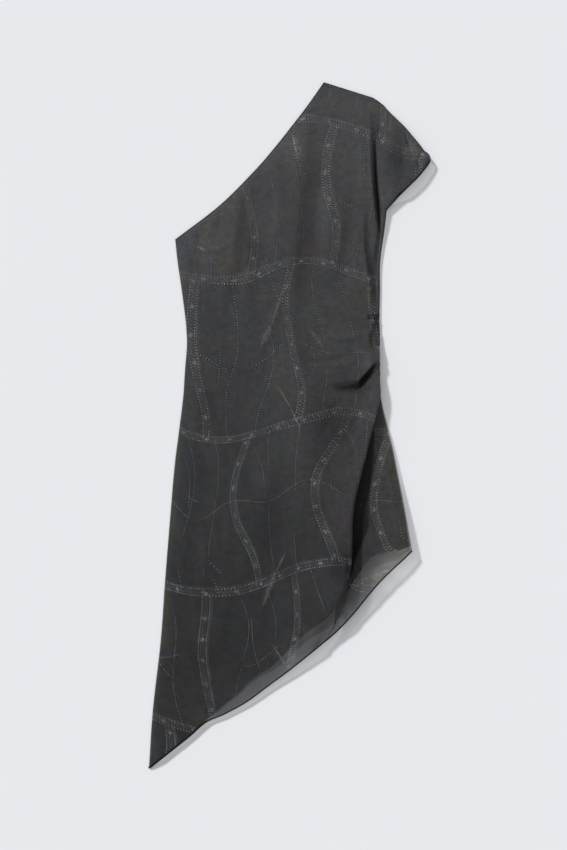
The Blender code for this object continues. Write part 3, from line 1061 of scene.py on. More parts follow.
class StitchLattice(Effect):
    """A lattice of dotted bands and lines, worn in places. Sizes are in millimetres."""

    name = "stitch_lattice"
    inputs = (("Place", "NodeSocketVector", 0),)
    outputs = (("Mask", "NodeSocketFloat"), ("Bands", "NodeSocketFloat"),
               ("Grooves", "NodeSocketFloat"), ("Patch", "NodeSocketFloat"))
    spacing = 172.0         # between two upright bands
    cross_spacing = 284.0   # between two cross bands
    pitch = 4.7             # between two dots
    band = 5.6              # from a band's middle to its rows of dots
    edge = 8.2              # from a band's middle to its outer line
    lozenge_pitch = 47.0
    wander = 130.0          # how far noise shifts the lines
    upright = Wave(11.0, 330.0, 0.8)
    upright_line = Wave(-9.0, 260.0, 1.1)
    cross = Wave(20.0, 390.0, 0.9)
    garland = Wave(15.0, 172.0, 2.2)
    slanted = Wave(16.0, 240.0, 0.4)

    def dots(self, wiring: Wiring, gap: Value, run: Value, low: float = 0.6,
             high: float = 1.5) -> bpy.types.NodeSocket:
        """Draw a row of dots.

        Args:
            wiring: Adds nodes to the group.
            gap: Distance from the row.
            run: Distance along it.
            low: Radius of a dot's full part.
            high: Radius where it ends.

        Returns:
            The row's mask.
        """
        part = wiring.math("SUBTRACT", wiring.math("FRACT", wiring.math("DIVIDE", run, self.pitch)), 0.5)
        step = wiring.math("MULTIPLY", part, self.pitch)
        reach = wiring.math("SQRT", wiring.math("ADD", wiring.math("MULTIPLY", gap, gap),
                                                wiring.math("MULTIPLY", step, step)))
        return wiring.ease(reach, low, high, 1.0, 0.0)

    def groove(self, wiring: Wiring, gap: Value) -> bpy.types.NodeSocket:
        """Mark the darker cloth that a row of dots lies in.

        Args:
            wiring: Adds nodes to the group.
            gap: Distance from the row.

        Returns:
            The row's mask.
        """
        return wiring.ease(wiring.math("ABSOLUTE", gap), 0.8, 2.6, 1.0, 0.0)

    def filled_band(self, wiring: Wiring, gap: Value,
                    run: Value) -> tuple[bpy.types.NodeSocket, bpy.types.NodeSocket, bpy.types.NodeSocket]:
        """Draw a band: two rows of dots, a thin outer line, lozenges and slanted ticks.

        Args:
            wiring: Adds nodes to the group.
            gap: Distance from the band's middle.
            run: Distance along it.

        Returns:
            The masks of its marks, of its whole width and of the darker cloth under its rows.
        """
        apart = wiring.math("ABSOLUTE", gap)
        off = wiring.math("SUBTRACT", apart, self.band)
        marks = self.dots(wiring, off, run)
        rim = wiring.math("ABSOLUTE", wiring.math("SUBTRACT", gap, self.edge))
        rim = wiring.ease(rim, 0.15, 0.7, 0.3, 0.0)
        part = wiring.math("SUBTRACT", wiring.math("FRACT", wiring.math("DIVIDE", run, self.lozenge_pitch)),
                           0.5)
        step = wiring.math("ABSOLUTE", wiring.math("MULTIPLY", part, self.lozenge_pitch))
        shape = wiring.math("ADD", wiring.math("DIVIDE", apart, 4.4), wiring.math("DIVIDE", step, 5.6))
        lozenge = wiring.ease(shape, 0.7, 1.1, 0.5, 0.0)
        slant = wiring.math("FRACT", wiring.math("DIVIDE", wiring.math("ADD", run, gap), 7.1))
        ticks = wiring.ease(wiring.math("ABSOLUTE", wiring.math("SUBTRACT", slant, 0.5)), 0.05, 0.2,
                            0.28, 0.0)
        ticks = wiring.math("MULTIPLY", ticks, wiring.ease(apart, 2.6, 4.2, 1.0, 0.0))
        for piece in (rim, lozenge, ticks):
            marks = wiring.math("MAXIMUM", marks, piece)
        return marks, wiring.ease(apart, 7.0, 8.6, 1.0, 0.0), self.groove(wiring, off)

    def wire(self, wiring: Wiring, given: bpy.types.NodeOutputs) -> dict[Union[str, int], Value]:
        """Draw cross bands, with upright bands, single lines and garlands between them."""
        shift = wiring.vector("SUBTRACT", wiring.noise(given["Place"], 300.0, 1.0, 0.35, output=1),
                              (0.5, 0.5, 0.5))
        place = wiring.vector("MULTIPLY_ADD", shift, (self.wander, self.wander, 0.0), given["Place"])
        parts = wiring.add("ShaderNodeSeparateXYZ", {0: place}).outputs
        across, down = parts[0], parts[1]
        offset, lean = self.cross.read(wiring, across)
        level = wiring.math("SUBTRACT", down, offset)
        row = wiring.math("FLOOR", wiring.math("DIVIDE", level, self.cross_spacing))
        gap = wiring.math("WRAP", level, self.cross_spacing / 2, -self.cross_spacing / 2)
        cross, cross_width, cross_groove = self.filled_band(
            wiring, wiring.math("DIVIDE", gap, lean), across)
        brick = wiring.math("MULTIPLY", wiring.math("FLOORED_MODULO", row, 2.0), self.spacing / 2)
        shifted = wiring.math("ADD", across, brick)
        offset, lean = self.upright.read(wiring, down)
        level_across = wiring.math("SUBTRACT", shifted, offset)
        column = wiring.math("FLOOR", wiring.math("DIVIDE", level_across, self.spacing))
        gap = wiring.math("WRAP", level_across, self.spacing / 2, -self.spacing / 2)
        upright, upright_width, upright_groove = self.filled_band(
            wiring, wiring.math("DIVIDE", gap, lean), down)
        grooves = wiring.math("MAXIMUM", cross_groove, upright_groove)
        mask = wiring.math("MAXIMUM", cross, upright)

        offset, lean = self.upright_line.read(wiring, down)
        gap = wiring.math("WRAP", wiring.math("SUBTRACT", shifted, offset), self.spacing, 0.0)
        half = wiring.math("SUBTRACT", gap, self.spacing / 2)
        line_gap = wiring.math("SUBTRACT", wiring.math("ABSOLUTE", half), self.spacing / 6)
        line_gap = wiring.math("DIVIDE", line_gap, lean)
        offset, lean = self.garland.read(wiring, shifted)
        gap = wiring.math("WRAP", wiring.math("SUBTRACT", level, offset), self.cross_spacing, 0.0)
        garland_gap = wiring.math("DIVIDE", wiring.math("SUBTRACT", gap, self.cross_spacing / 2), lean)
        offset, lean = self.slanted.read(wiring, down)
        lifted = wiring.math("MULTIPLY_ADD", down, 0.42, across)
        gap = wiring.math("WRAP", wiring.math("ADD", lifted, offset), self.spacing, 0.0)
        slanted_gap = wiring.math("MULTIPLY", wiring.math("SUBTRACT", gap, self.spacing / 2), 0.9)
        for gap, run, shift, size, start in (
                (line_gap, down, (-200.0, 90.0, 0.0), 150.0, 0.38),
                (garland_gap, across, (300.0, 0.0, 0.0), 130.0, 0.40),
                (slanted_gap, down, (0.0, 500.0, 0.0), 110.0, 0.50)):
            spot = wiring.noise(wiring.vector("ADD", given["Place"], shift), size, 1.0)
            shown = wiring.ease(spot, start, start + 0.06)
            dots = wiring.math("MULTIPLY", self.dots(wiring, gap, run, 0.5, 1.35), 0.9)
            mask = wiring.math("MAXIMUM", mask, wiring.math("MULTIPLY", dots, shown))
            groove = wiring.math("MULTIPLY", self.groove(wiring, gap), shown)
            grooves = wiring.math("MAXIMUM", grooves, groove)

        side = wiring.math("GREATER_THAN", half, 0.0)
        cell = wiring.add("ShaderNodeCombineXYZ", {0: row, 1: column, 2: side}).outputs[0]
        patch = wiring.add("ShaderNodeTexWhiteNoise", {0: cell}, noise_dimensions="3D").outputs["Value"]
        worn = wiring.ease(wiring.noise(given["Place"], 38.0, 3.0, 0.65), 0.32, 0.66, 0.34, 1.0)
        grain = wiring.ease(wiring.noise(given["Place"], 5.0, 2.0), 0.32, 0.62, 0.4, 1.0)
        return {
            "Mask": wiring.math("MULTIPLY", wiring.math("MULTIPLY", mask, worn), grain),
            "Bands": wiring.math("MAXIMUM", cross_width, upright_width),
            "Grooves": wiring.math("MULTIPLY", grooves, worn),
            "Patch": patch,
        }


@dataclass(frozen=True)
class Finish:
    """A finish with a Principled BSDF."""

    name: str
    roughness: float = 0.85
    specular: float = 0.3

    def start(self) -> tuple[bpy.types.Material, Wiring, bpy.types.Node]:
        """Make the material.

        Returns:
            The material, its wiring and its shader.
        """
        material = bpy.data.materials.new(self.name)
        material.use_nodes = True
        shader = material.node_tree.nodes["Principled BSDF"]
        shader.inputs["Roughness"].default_value = self.roughness
        shader.inputs["Specular IOR Level"].default_value = self.specular
        return material, Wiring(material.node_tree), shader


def cloth_place(wiring: Wiring) -> bpy.types.NodeSocket:
    """Read the place on the cloth, in millimetres."""
    node = wiring.add("ShaderNodeVectorMath", {0: wiring.map(MapName.CLOTH), "Scale": 1 / MM},
                      operation="SCALE")
    return node.outputs[0]


@dataclass(frozen=True)
class SheerMesh(Finish):
    """Washed-black sheer stretch mesh with a faint dotted print, rubbed creases, and painted shade and
    painted light from its Shade map.
    """

    name: str = "washed_sheer_mesh"
    roughness: float = 0.88
    specular: float = 0.08
    deep: Colour = (0.034, 0.0345, 0.036, 1.0)
    faded: Colour = (0.077, 0.077, 0.082, 1.0)
    print_colour: Colour = (0.42, 0.43, 0.445, 1.0)
    band_colour: Colour = (0.11, 0.11, 0.115, 1.0)
    groove_shade: Colour = (0.60, 0.60, 0.60, 1.0)
    dim_patch: Colour = (0.91, 0.94, 0.97, 1.0)
    bright_patch: Colour = (1.10, 1.06, 1.03, 1.0)
    rubbed_colour: Colour = (0.36, 0.355, 0.335, 1.0)
    hem_tint: Colour = (1.03, 1.0, 0.78, 1.0)
    cover: float = 0.74
    # Painted shade: the colour is multiplied by this in the deep folds and pockets.
    pocket_shade: Colour = (0.12, 0.12, 0.12, 1.0)

    def build(self, weave: FineWeave, dye: WashedDye, lattice: StitchLattice,
              rubbed: RubbedMark) -> bpy.types.Material:
        """Make the material.

        Args:
            weave: The threads.
            dye: The washed colour.
            lattice: The print.
            rubbed: The pale streaks.

        Returns:
            The material.
        """
        material, wiring, shader = self.start()
        place = cloth_place(wiring)
        shade = wiring.add("ShaderNodeSeparateXYZ", {0: wiring.map(MapName.SHADE)}).outputs
        threads = wiring.group(weave.tree, Place=place, Pitch=0.9)
        colour = wiring.group(dye.tree, Place=place, Deep=self.deep, Faded=self.faded,
                              Unevenness=0.9).outputs["Colour"]
        printed = wiring.group(lattice.tree, Place=place).outputs
        patch = wiring.mix(printed["Patch"], self.dim_patch, self.bright_patch)
        colour = wiring.mix(1.0, colour, patch, "MULTIPLY")
        colour = wiring.mix(wiring.math("MULTIPLY", printed["Bands"], 0.07), colour, self.band_colour)
        colour = wiring.mix(printed["Grooves"], colour,
                            wiring.mix(1.0, colour, self.groove_shade, "MULTIPLY"))
        colour = wiring.mix(wiring.math("MULTIPLY", printed["Mask"], 0.8), colour, self.print_colour)
        streaks: Value = 0.0
        for mark in MARKS:
            node = wiring.group(rubbed.tree, Place=place, Start=(*mark.start, 0.0), End=(*mark.end, 0.0),
                                Width=mark.width, Strength=mark.strength)
            streaks = wiring.math("MAXIMUM", streaks, node.outputs["Mask"])
        colour = wiring.mix(wiring.math("MULTIPLY", streaks, 0.55), colour, self.rubbed_colour)
        uneven = wiring.ease(threads.outputs["Threads"], 0.2, 0.8, 0.9, 1.06)
        # The Shade map's paleness, 0.5 for the plain dye: uneven dye, with painted shade and painted light
        # in some patches and painted light along the left edge.
        washed = wiring.math("MULTIPLY", shade[1], 2.0)
        colour = wiring.mix(1.0, colour, wiring.math("MULTIPLY", uneven, washed), "MULTIPLY")
        colour = wiring.mix(wiring.ease(shade[1], 0.58, 0.8), colour,
                            wiring.mix(1.0, colour, self.hem_tint, "MULTIPLY"))
        # Painted shade in the deep folds and pockets.
        colour = wiring.mix(shade[0], colour, wiring.mix(1.0, colour, self.pocket_shade, "MULTIPLY"))
        wiring.feed(colour, shader.inputs["Base Color"])
        thin = wiring.ease(shade[1], 0.56, 0.9, 0.0, 0.2)
        cover = wiring.math("MULTIPLY_ADD", threads.outputs["Threads"], 0.08, self.cover - 0.04)
        # The painted shade also makes the cloth opaque.
        cover = wiring.math("MAXIMUM", wiring.math("SUBTRACT", cover, thin), shade[0])
        wiring.feed(wiring.math("MINIMUM", cover, 1.0), shader.inputs["Alpha"])
        bump = wiring.add("ShaderNodeBump", {"Height": threads.outputs["Height"], "Strength": 0.35,
                                             "Distance": 0.06 * MM})
        wiring.feed(bump.outputs[0], shader.inputs["Normal"])
        shader.inputs["Sheen Weight"].default_value = 0.02
        shader.inputs["Sheen Roughness"].default_value = 0.5
        return material


@dataclass(frozen=True)
class DarkKnit(Finish):
    """Smooth opaque black knit of the lining."""

    name: str = "black_lining_knit"
    roughness: float = 0.8
    specular: float = 0.2
    deep: Colour = (0.012, 0.012, 0.013, 1.0)
    faded: Colour = (0.022, 0.022, 0.024, 1.0)

    def build(self, weave: FineWeave, dye: WashedDye) -> bpy.types.Material:
        """Make the material.

        Args:
            weave: The threads.
            dye: The washed colour.

        Returns:
            The material.
        """
        material, wiring, shader = self.start()
        place = cloth_place(wiring)
        threads = wiring.group(weave.tree, Place=place, Pitch=0.6)
        colour = wiring.group(dye.tree, Place=place, Deep=self.deep, Faded=self.faded, Unevenness=0.6)
        wiring.feed(colour.outputs["Colour"], shader.inputs["Base Color"])
        bump = wiring.add("ShaderNodeBump", {"Height": threads.outputs["Height"], "Strength": 0.3,
                                             "Distance": 0.05 * MM})
        wiring.feed(bump.outputs[0], shader.inputs["Normal"])
        return material


@dataclass(frozen=True)
class RolledThread(Finish):
    """Tightly rolled cloth under a close overlock stitch."""

    name: str = "rolled_edge_thread"
    roughness: float = 0.85
    specular: float = 0.12
    dark: Colour = (0.004, 0.004, 0.005, 1.0)
    light: Colour = (0.012, 0.012, 0.013, 1.0)
    pitch: float = 0.9

    def build(self) -> bpy.types.Material:
        """Make the material.

        Returns:
            The material.
        """
        material, wiring, shader = self.start()
        place = wiring.add("ShaderNodeTexCoord", {}).outputs["Object"]
        parts = wiring.add("ShaderNodeSeparateXYZ", {0: place}).outputs
        run = wiring.math("ADD", parts[0], wiring.math("MULTIPLY", parts[1], 0.8))
        wave = wiring.math("SINE", wiring.math("MULTIPLY", run, 2 * math.pi / (self.pitch * MM)))
        thread = wiring.math("MULTIPLY_ADD", wave, 0.5, 0.5)
        fluff = wiring.noise(place, 6 * MM, 3.0)
        share = wiring.math("MULTIPLY", thread, wiring.ease(fluff, 0.3, 0.7, 0.4, 1.0))
        wiring.feed(wiring.mix(share, self.dark, self.light), shader.inputs["Base Color"])
        bump = wiring.add("ShaderNodeBump", {"Height": thread, "Strength": 0.5, "Distance": 0.1 * MM})
        wiring.feed(bump.outputs[0], shader.inputs["Normal"])
        return material


@dataclass(frozen=True)
class PaleFloor(Finish):
    """Plain pale studio floor."""

    name: str = "pale_studio_floor"
    roughness: float = 0.95
    specular: float = 0.0
    colour: Colour = (0.800, 0.816, 0.848, 1.0)

    def build(self) -> bpy.types.Material:
        """Make the material.

        Returns:
            The material.
        """
        material, wiring, shader = self.start()
        place = wiring.add("ShaderNodeTexCoord", {}).outputs["Object"]
        grain = wiring.ease(wiring.noise(place, 0.9, 2.0), 0.0, 1.0, 0.994, 1.006)
        wiring.feed(wiring.mix(1.0, self.colour, grain, "MULTIPLY"), shader.inputs["Base Color"])
        return material


def show(name: str, mesh: bpy.types.Mesh, material: bpy.types.Material) -> bpy.types.Object:
    """Put a piece of the dress into the scene.

    Args:
        name: The piece's name.
        mesh: Its mesh.
        material: Its material.

    Returns:
        The piece.
    """
    piece = bpy.data.objects.new(name, mesh)
    mesh.materials.append(material)
    bpy.context.scene.collection.objects.link(piece)
    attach(piece, BODY)
    return piece


@dataclass
class FrontPanel:
    """Sheer front, cut in one with its cap sleeve and draped to the gathered hip."""

    form: DressForm
    row_step: float = 3.9
    hip_step: float = 1.7
    main_columns: int = 148
    fold_columns: int = 30
    side_columns: int = 40
    crowding: float = 1.2
    unevenness: float = 0.32
    least_gap: float = 0.5
    pucker: float = 1.3
    pucker_pitch: float = 19.0
    fold_rim: float = 7.0
    # Painted light along the left edge, in the lower part: how much paler, how far in, and from where down.
    edge_light: float = 0.13
    edge_reach: float = 9.0
    edge_top: float = 20.0

    def draped_curve(self, height: Array, tuck: Array) -> tuple[Array, Array]:
        """Work out the draped fold's section in each row, from its crest to its foot.

        Args:
            height: How high the fold stands.
            tuck: How far the cloth runs back under it.

        Returns:
            The distance to the right of the fold's outermost point, and the share of its height.
        """
        t = np.linspace(0, 1, self.fold_columns + 1)[None, :]
        handle = np.maximum(self.form.least_roll, self.form.roll * height)[:, None]
        tuck = tuck[:, None]
        across = 3 * handle * (1 - t)**2 * t - 3 * (tuck + handle) * (1 - t) * t**2 - tuck * t**3
        outermost = np.where(tuck > 0, across.max(axis=1, keepdims=True), 0.0)
        return across - outermost, np.broadcast_to(1 - smooth_step(t), across.shape)

    def grid(self) -> ClothGrid:
        """Work out the panel.

        Returns:
            Its points and maps.
        """
        form = self.form
        places = form.places(self.row_step, self.hip_step)
        left, fold, right, rise, tuck = form.edges(places)
        across, drop = self.draped_curve(rise + form.puff, tuck)
        main_way, side_way = unit(fold - left), unit(right - left)
        crest = fold + across[:, :1] * main_way
        foot = fold + across[:, -1:] * side_way
        near_hem = smooth_step(1 - (form.last - places) / form.hem_reach)[:, None, None]**2
        near_top = smooth_step(1 - places / form.sleeve_reach)[:, None, None]**2
        parted = smooth_step(places / form.top_seam_reach)[:, None]

        main_shares = 1 - (1 - np.linspace(0, 1, self.main_columns + 1))**self.crowding
        side_shares = np.linspace(0, 1, self.side_columns + 1)[1:]
        main = left[:, None] + (crest - left)[:, None] * main_shares[None, :, None]
        main = main + near_hem * bulge(HEM_LEFT, main_shares)[None]
        side = foot[:, None] + (right - foot)[:, None] * side_shares[None, :, None]
        side = side + near_hem * bulge(HEM_RIGHT, side_shares)[None]
        side = side + near_top * bulge(SLEEVE_TOP, side_shares)[None]
        draped = fold[:, None] + across[:, 1:, None] * side_way[:, None]

        main_z = self.main_height(main, left, crest, rise, parted)
        foot_z = form.seam_top + (form.lined_top - form.seam_top) * parted[:, 0]
        foot_z = foot_z + bed_height(foot[:, 0], foot[:, 1])
        draped_z = foot_z[:, None] + (main_z[:, -1] - foot_z)[:, None] * drop[:, 1:]
        side_z = self.side_height(side, right, side_shares, places, parted)
        side = self.puckered(side, side_shares)

        flat = np.concatenate([main, draped, side], axis=1)
        height = np.concatenate([main_z, draped_z, side_z], axis=1) - form.cloth / 2
        height = self.cleared(flat, height, left, right)
        points = np.concatenate([flat, height[..., None]], axis=2)
        # The painted shade, for the Shade map.
        painted_shade = self.painted_shade_marks(flat, fold, side_way, places)
        return ClothGrid(points, self.unfolded(points, side_way), painted_shade, self.paleness(flat, left))

    def main_height(self, main: Array, left: Array, crest: Array, rise: Array, parted: Array) -> Array:
        """Return the height of the outer face left of the draped fold.

        Args:
            main: Points of that stretch.
            left: The left edge.
            crest: The fold's crest.
            rise: The fold's rise over the panel.
            parted: How far each row is past the shoulder seam.

        Returns:
            The height at each point.
        """
        form = self.form
        x, y = main[..., 0], main[..., 1]
        from_left = np.linalg.norm(main - left[:, None], axis=2)
        from_crest = np.linalg.norm(main - crest[:, None], axis=2)
        lined = smooth_step(from_left / form.seam_ramp) * parted
        puffed = smooth_step(from_left / form.puff_reach) * parted
        ridge = rise[:, None] * np.exp(-(from_crest / form.crest_reach)**1.5)
        creased = relief(x, y, MAIN_CREASES + FINE_CREASES) + self.unevenness * ripple(x, y)
        height = form.seam_top + (form.lined_top - form.seam_top + bed_height(x, y)) * lined
        return height + puffed * (form.puff + creased + ridge)

    def side_height(self, side: Array, right: Array, shares: Array, places: Array,
                    parted: Array) -> Array:
        """Return the height of the outer face right of the draped fold.

        Args:
            side: Points of that stretch.
            right: The right edge.
            shares: The share of the way from the fold's foot to the right edge.
            places: The rows' numbers.
            parted: How far each row is past the shoulder seam.

        Returns:
            The height at each point.
        """
        form = self.form
        x, y = side[..., 0], side[..., 1]
        held = smooth_step(np.linalg.norm(side - right[:, None], axis=2) / form.side_ramp)
        skirt = smooth_step((places - form.hip) / form.free_reach)[:, None]
        sleeve = smooth_step((form.underarm_right - places) / form.free_reach)[:, None]
        lined = np.maximum(np.maximum(held, skirt), sleeve) * parted
        shares = shares[None, :]
        swell = form.side_swell * (4 * shares * (1 - shares))**0.5 * parted
        creased = relief(x, y, MAIN_CREASES + FINE_CREASES) + 0.6 * self.unevenness * ripple(x, y)
        height = form.seam_top + (form.lined_top - form.seam_top + bed_height(x, y)) * lined
        return height + swell + creased * held * parted

    def puckered(self, side: Array, shares: Array) -> Array:
        """Draw the side seam in and out a little beside the gathers.

        Args:
            side: Points right of the draped fold.
            shares: The share of the way to the right edge.

        Returns:
            The points, moved.
        """
        y = side[..., 1]
        near = np.exp(-((y - 150) / 62)**2)
        wave = np.sin(2 * np.pi * y / self.pucker_pitch) - 0.35
        moved = side.copy()
        moved[..., 0] += self.pucker * near * wave * shares[None, :]**2
        return moved

    def cleared(self, flat: Array, height: Array, left: Array, right: Array) -> Array:
        """Keep the front over the lining.

        Args:
            flat: Places of the front's points.
            height: Their heights.
            left: The left edge.
            right: The right edge.

        Returns:
            The heights, raised where the front would touch the lining.
        """
        form = self.form
        from_right = np.linalg.norm(flat - right[:, None], axis=2)
        from_left = np.linalg.norm(flat - left[:, None], axis=2)
        lining = form.lining_height(flat[..., 0], flat[..., 1], from_right - form.seam_ramp)
        least = lining - form.cloth / 2 + self.least_gap
        inside = (from_right > form.seam_ramp - 2) & (from_left > form.seam_ramp - 2)
        return np.where(inside, np.maximum(height, least), height)

    def unfolded(self, points: Array, side_way: Array) -> Array:
        """Work out where each point lies on the flat cloth.

        Args:
            points: The panel's points.
            side_way: The way across each row.

        Returns:
            Flat places, which follow the plan up to the crest and the cloth's length beyond it.
        """
        cloth = points[..., :2].copy()
        first = self.main_columns
        steps = np.linalg.norm(np.diff(points[:, first:], axis=1), axis=2)
        run = np.concatenate([np.zeros((len(points), 1)), np.cumsum(steps, axis=1)], axis=1)
        cloth[:, first:] = cloth[:, first:first + 1] + side_way[:, None] * run[..., None]
        return cloth

    def painted_shade_marks(self, flat: Array, fold: Array, side_way: Array, places: Array) -> Array:
        """Mark the painted shade: the shadow beyond the draped fold, the fold's crest as it rolls into it,
        and the deep pockets.

        Args:
            flat: Places of the points.
            fold: The draped fold's outermost points.
            side_way: The way across each row.
            places: The rows' numbers.

        Returns:
            The mark at each point, from 0 to 1.
        """
        x, y = flat[..., 0], flat[..., 1]
        rows = sorted(FOLD_SHADOW)
        known = [row.y for row in rows]
        width = np.interp(fold[:, 1], known, [row.width for row in rows])[:, None]
        depth = np.interp(fold[:, 1], known, [row.depth for row in rows])[:, None]
        beyond = np.einsum("rcx,rx->rc", flat - fold[:, None], side_way)
        columns = np.arange(flat.shape[1])[None, :]
        # Painted shadow in a band beyond the fold's crest, and painted shade on the crest as it rolls into
        # it.
        past_crest = smooth_step((columns - self.main_columns - 2) / 4)
        rim = 0.75 * smooth_step(1 + beyond / self.fold_rim) * (columns <= self.main_columns + 4)
        soft = 2.0 + 0.25 * width
        band = past_crest * smooth_step((width + soft / 2 - beyond) / soft)
        mark = depth * np.maximum(band, rim) * smooth_step(width / 6)
        # Painted shade in the deep pockets.
        for pocket in SHADED_POCKETS:
            mark = np.maximum(mark, self.pocket_mark(x, y, pocket))
        return mark

    def pocket_mark(self, x: Array, y: Array, pocket: Pocket) -> Array:
        """Mark one pocket's painted shade.

        Args:
            x: Places across the dress.
            y: Places along the dress.
            pocket: The pocket.

        Returns:
            The mark at each point, from 0 to 1.
        """
        spots = pocket.spots
        numbers = np.arange(len(spots))
        distance, _, share = near_path(x, y, tuple(Point(spot.x, spot.y) for spot in spots))
        number = share * (len(spots) - 1)
        half = np.interp(number, numbers, [spot.half for spot in spots])
        depth = np.interp(number, numbers, [spot.depth for spot in spots])
        return depth * smooth_step((half + pocket.soft / 2 - distance) / pocket.soft)

    def paleness(self, flat: Array, left: Array) -> Array:
        """Work out how pale the colour is painted, with half for the dye's own shade.

        Args:
            flat: Places of the points.
            left: The left edge.

        Returns:
            The paleness at each point, from 0 to 1.
        """
        x, y = flat[..., 0], flat[..., 1]
        from_left = np.linalg.norm(flat - left[:, None], axis=2)
        # A paler line 3 mm inside the left edge.
        pale = 0.5 + 0.05 * smooth_step(1 - np.abs(from_left - 3.0) / 2.5)
        # Painted light: the colour is paler along the left edge, in the lower part.
        lit_edge = np.exp(-(from_left / self.edge_reach)**2) * smooth_step((self.edge_top - y) / 60)
        pale = pale + self.edge_light * lit_edge
        # Patches of uneven dye, of painted shade and of painted light.
        for fade in DYE_AND_SHADE_PATCHES:
            pale = pale + fade.change * np.exp(-((x - fade.x) / fade.across)**2
                                               - ((y - fade.y) / fade.along)**2)
        return np.clip(pale, 0.0, 1.0)

    def build(self, material: bpy.types.Material) -> tuple[bpy.types.Object, ClothGrid]:
        """Make the panel.

        Args:
            material: Its material.

        Returns:
            The piece and its grid.
        """
        grid = self.grid()
        piece = show("front_panel", grid.mesh("front_panel"), material)
        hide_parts(Layer.FRONT.value)
        return piece, grid


@dataclass
class LiningPanel:
    """Dark front lining, which ends short of the sheer hem in a wavy cut edge."""

    form: DressForm
    row_step: float = 6.0
    columns: int = 110
    unevenness: float = 0.22
    seam_inset: float = 2.2
    seam_drop: float = 0.6
    place_reach: float = 46.0       # cloth between two sections at the shoulder

    def grid(self) -> ClothGrid:
        """Work out the panel.

        Returns:
            Its points and maps.
        """
        form = self.form
        places = form.places(self.row_step, self.row_step)
        left, _, right, _, _ = form.edges(places)
        kept = left[:, 1] > LINING_HEM[0].y
        places, left, right = places[kept], left[kept], right[kept]
        way = unit(right - left)
        shares = np.linspace(0, 1, self.columns + 1)
        start, end = left + way * self.seam_inset, right - way * self.seam_inset
        flat = start[:, None] + (end - start)[:, None] * shares[None, :, None]
        near_top = smooth_step(1 - places / form.sleeve_reach)[:, None, None]**2
        flat = flat + near_top * bulge(TOP_EDGE, shares)[None]
        near_hem = smooth_step(1 - (1 - np.linspace(0, 1, len(flat))) / form.lining_reach)
        flat = flat + near_hem[:, None, None] * (along(LINING_HEM, shares) - flat[-1])[None]
        from_right = np.linalg.norm(flat - right[:, None], axis=2)
        from_left = np.linalg.norm(flat - left[:, None], axis=2)
        x, y = flat[..., 0], flat[..., 1]
        height = form.lining_height(x, y, from_right - form.seam_ramp) - form.cloth / 2
        height = height - self.unevenness * (0.5 + 0.5 * ripple(1.3 * x, y))
        from_seam = np.minimum(np.minimum(from_left, from_right), places[:, None] * self.place_reach)
        height = height - self.seam_drop * (1 - smooth_step(from_seam / form.seam_ramp))
        points = np.concatenate([flat, height[..., None]], axis=2)
        return ClothGrid(points, flat, np.zeros(x.shape), np.full(x.shape, 0.5))

    def build(self, material: bpy.types.Material) -> bpy.types.Object:
        """Make the panel.

        Args:
            material: Its material.

        Returns:
            The piece.
        """
        piece = show("lining_panel", self.grid().mesh("lining_panel"), material)
        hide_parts(Layer.LINING.value)
        return piece


@dataclass
class BackPanel:
    """Sheer back, which lies on the floor under the lining."""

    form: DressForm
    row_step: float = 9.0
    cell: float = 6.5
    lift: float = 0.36
    middle: float = 0.5

    def outline(self) -> Array:
        """Return the panel's outline, anticlockwise or clockwise."""
        form = self.form
        places = form.places(self.row_step, self.row_step)
        left, _, right, _, _ = form.edges(places)
        kept = right[:, 1] > BACK_HEM[-1].y
        inset = form.back_inset * smooth_step(places - form.hip)
        right = right - np.stack([inset, np.zeros(len(inset))], 1)
        tip = along(BACK_TIP, np.linspace(0, 1, 14))
        hem = along(BACK_HEM, np.linspace(0, 1, 60))
        top = along(TOP_EDGE, np.linspace(0, 1, 40))
        return np.concatenate([left[:-1], tip, hem[1:], right[kept][::-1], top[-2:0:-1]])

    def build(self, material: bpy.types.Material) -> bpy.types.Object:
        """Fill the outline with an even mesh, crease it and show it.

        Args:
            material: Its material.

        Returns:
            The piece.
        """
        outline = self.outline()
        low, high = outline.min(axis=0), outline.max(axis=0)
        across = np.arange(low[0], high[0], self.cell)
        down = np.arange(low[1], high[1], self.cell * 0.866)
        rows, columns = np.meshgrid(down, across, indexing="ij")
        columns = columns + (np.arange(len(down)) % 2)[:, None] * self.cell / 2
        inner = np.stack([columns.ravel(), rows.ravel()], 1)
        spots = [Vector(point) for point in np.concatenate([outline, inner])]
        count = len(outline)
        rim = [(index, (index + 1) % count) for index in range(count)]
        found, _, faces, _, _, _ = delaunay_2d_cdt(spots, rim, [], 1, 1e-4)
        flat = np.array([tuple(point) for point in found])
        faces = np.array([face for face in faces if len(face) == 3])
        corner = flat[faces]
        turn = np.cross(corner[:, 1] - corner[:, 0], corner[:, 2] - corner[:, 0])
        faces = np.where((turn > 0)[:, None], faces[:, ::-1], faces)
        x, y = flat[:, 0], flat[:, 1]
        waves = ripple(-1.2 * x, 0.9 * y) + 0.35 * relief(-x, y, MAIN_CREASES)
        height = self.middle + self.lift * np.clip(waves, -1, 1)
        points = np.concatenate([flat, height[:, None]], axis=1)
        maps = {
            MapName.BAKE: (flat - low) / (high - low),
            MapName.CLOTH: (flat * (-1.0, 1.0) + (37.0, 61.0)) * MM,
            MapName.SHADE: np.stack([np.zeros(len(flat)), np.full(len(flat), 0.5)], 1),
        }
        piece = show("back_panel", panel_mesh("back_panel", points, faces, maps), material)
        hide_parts(Layer.BACK.value)
        return piece


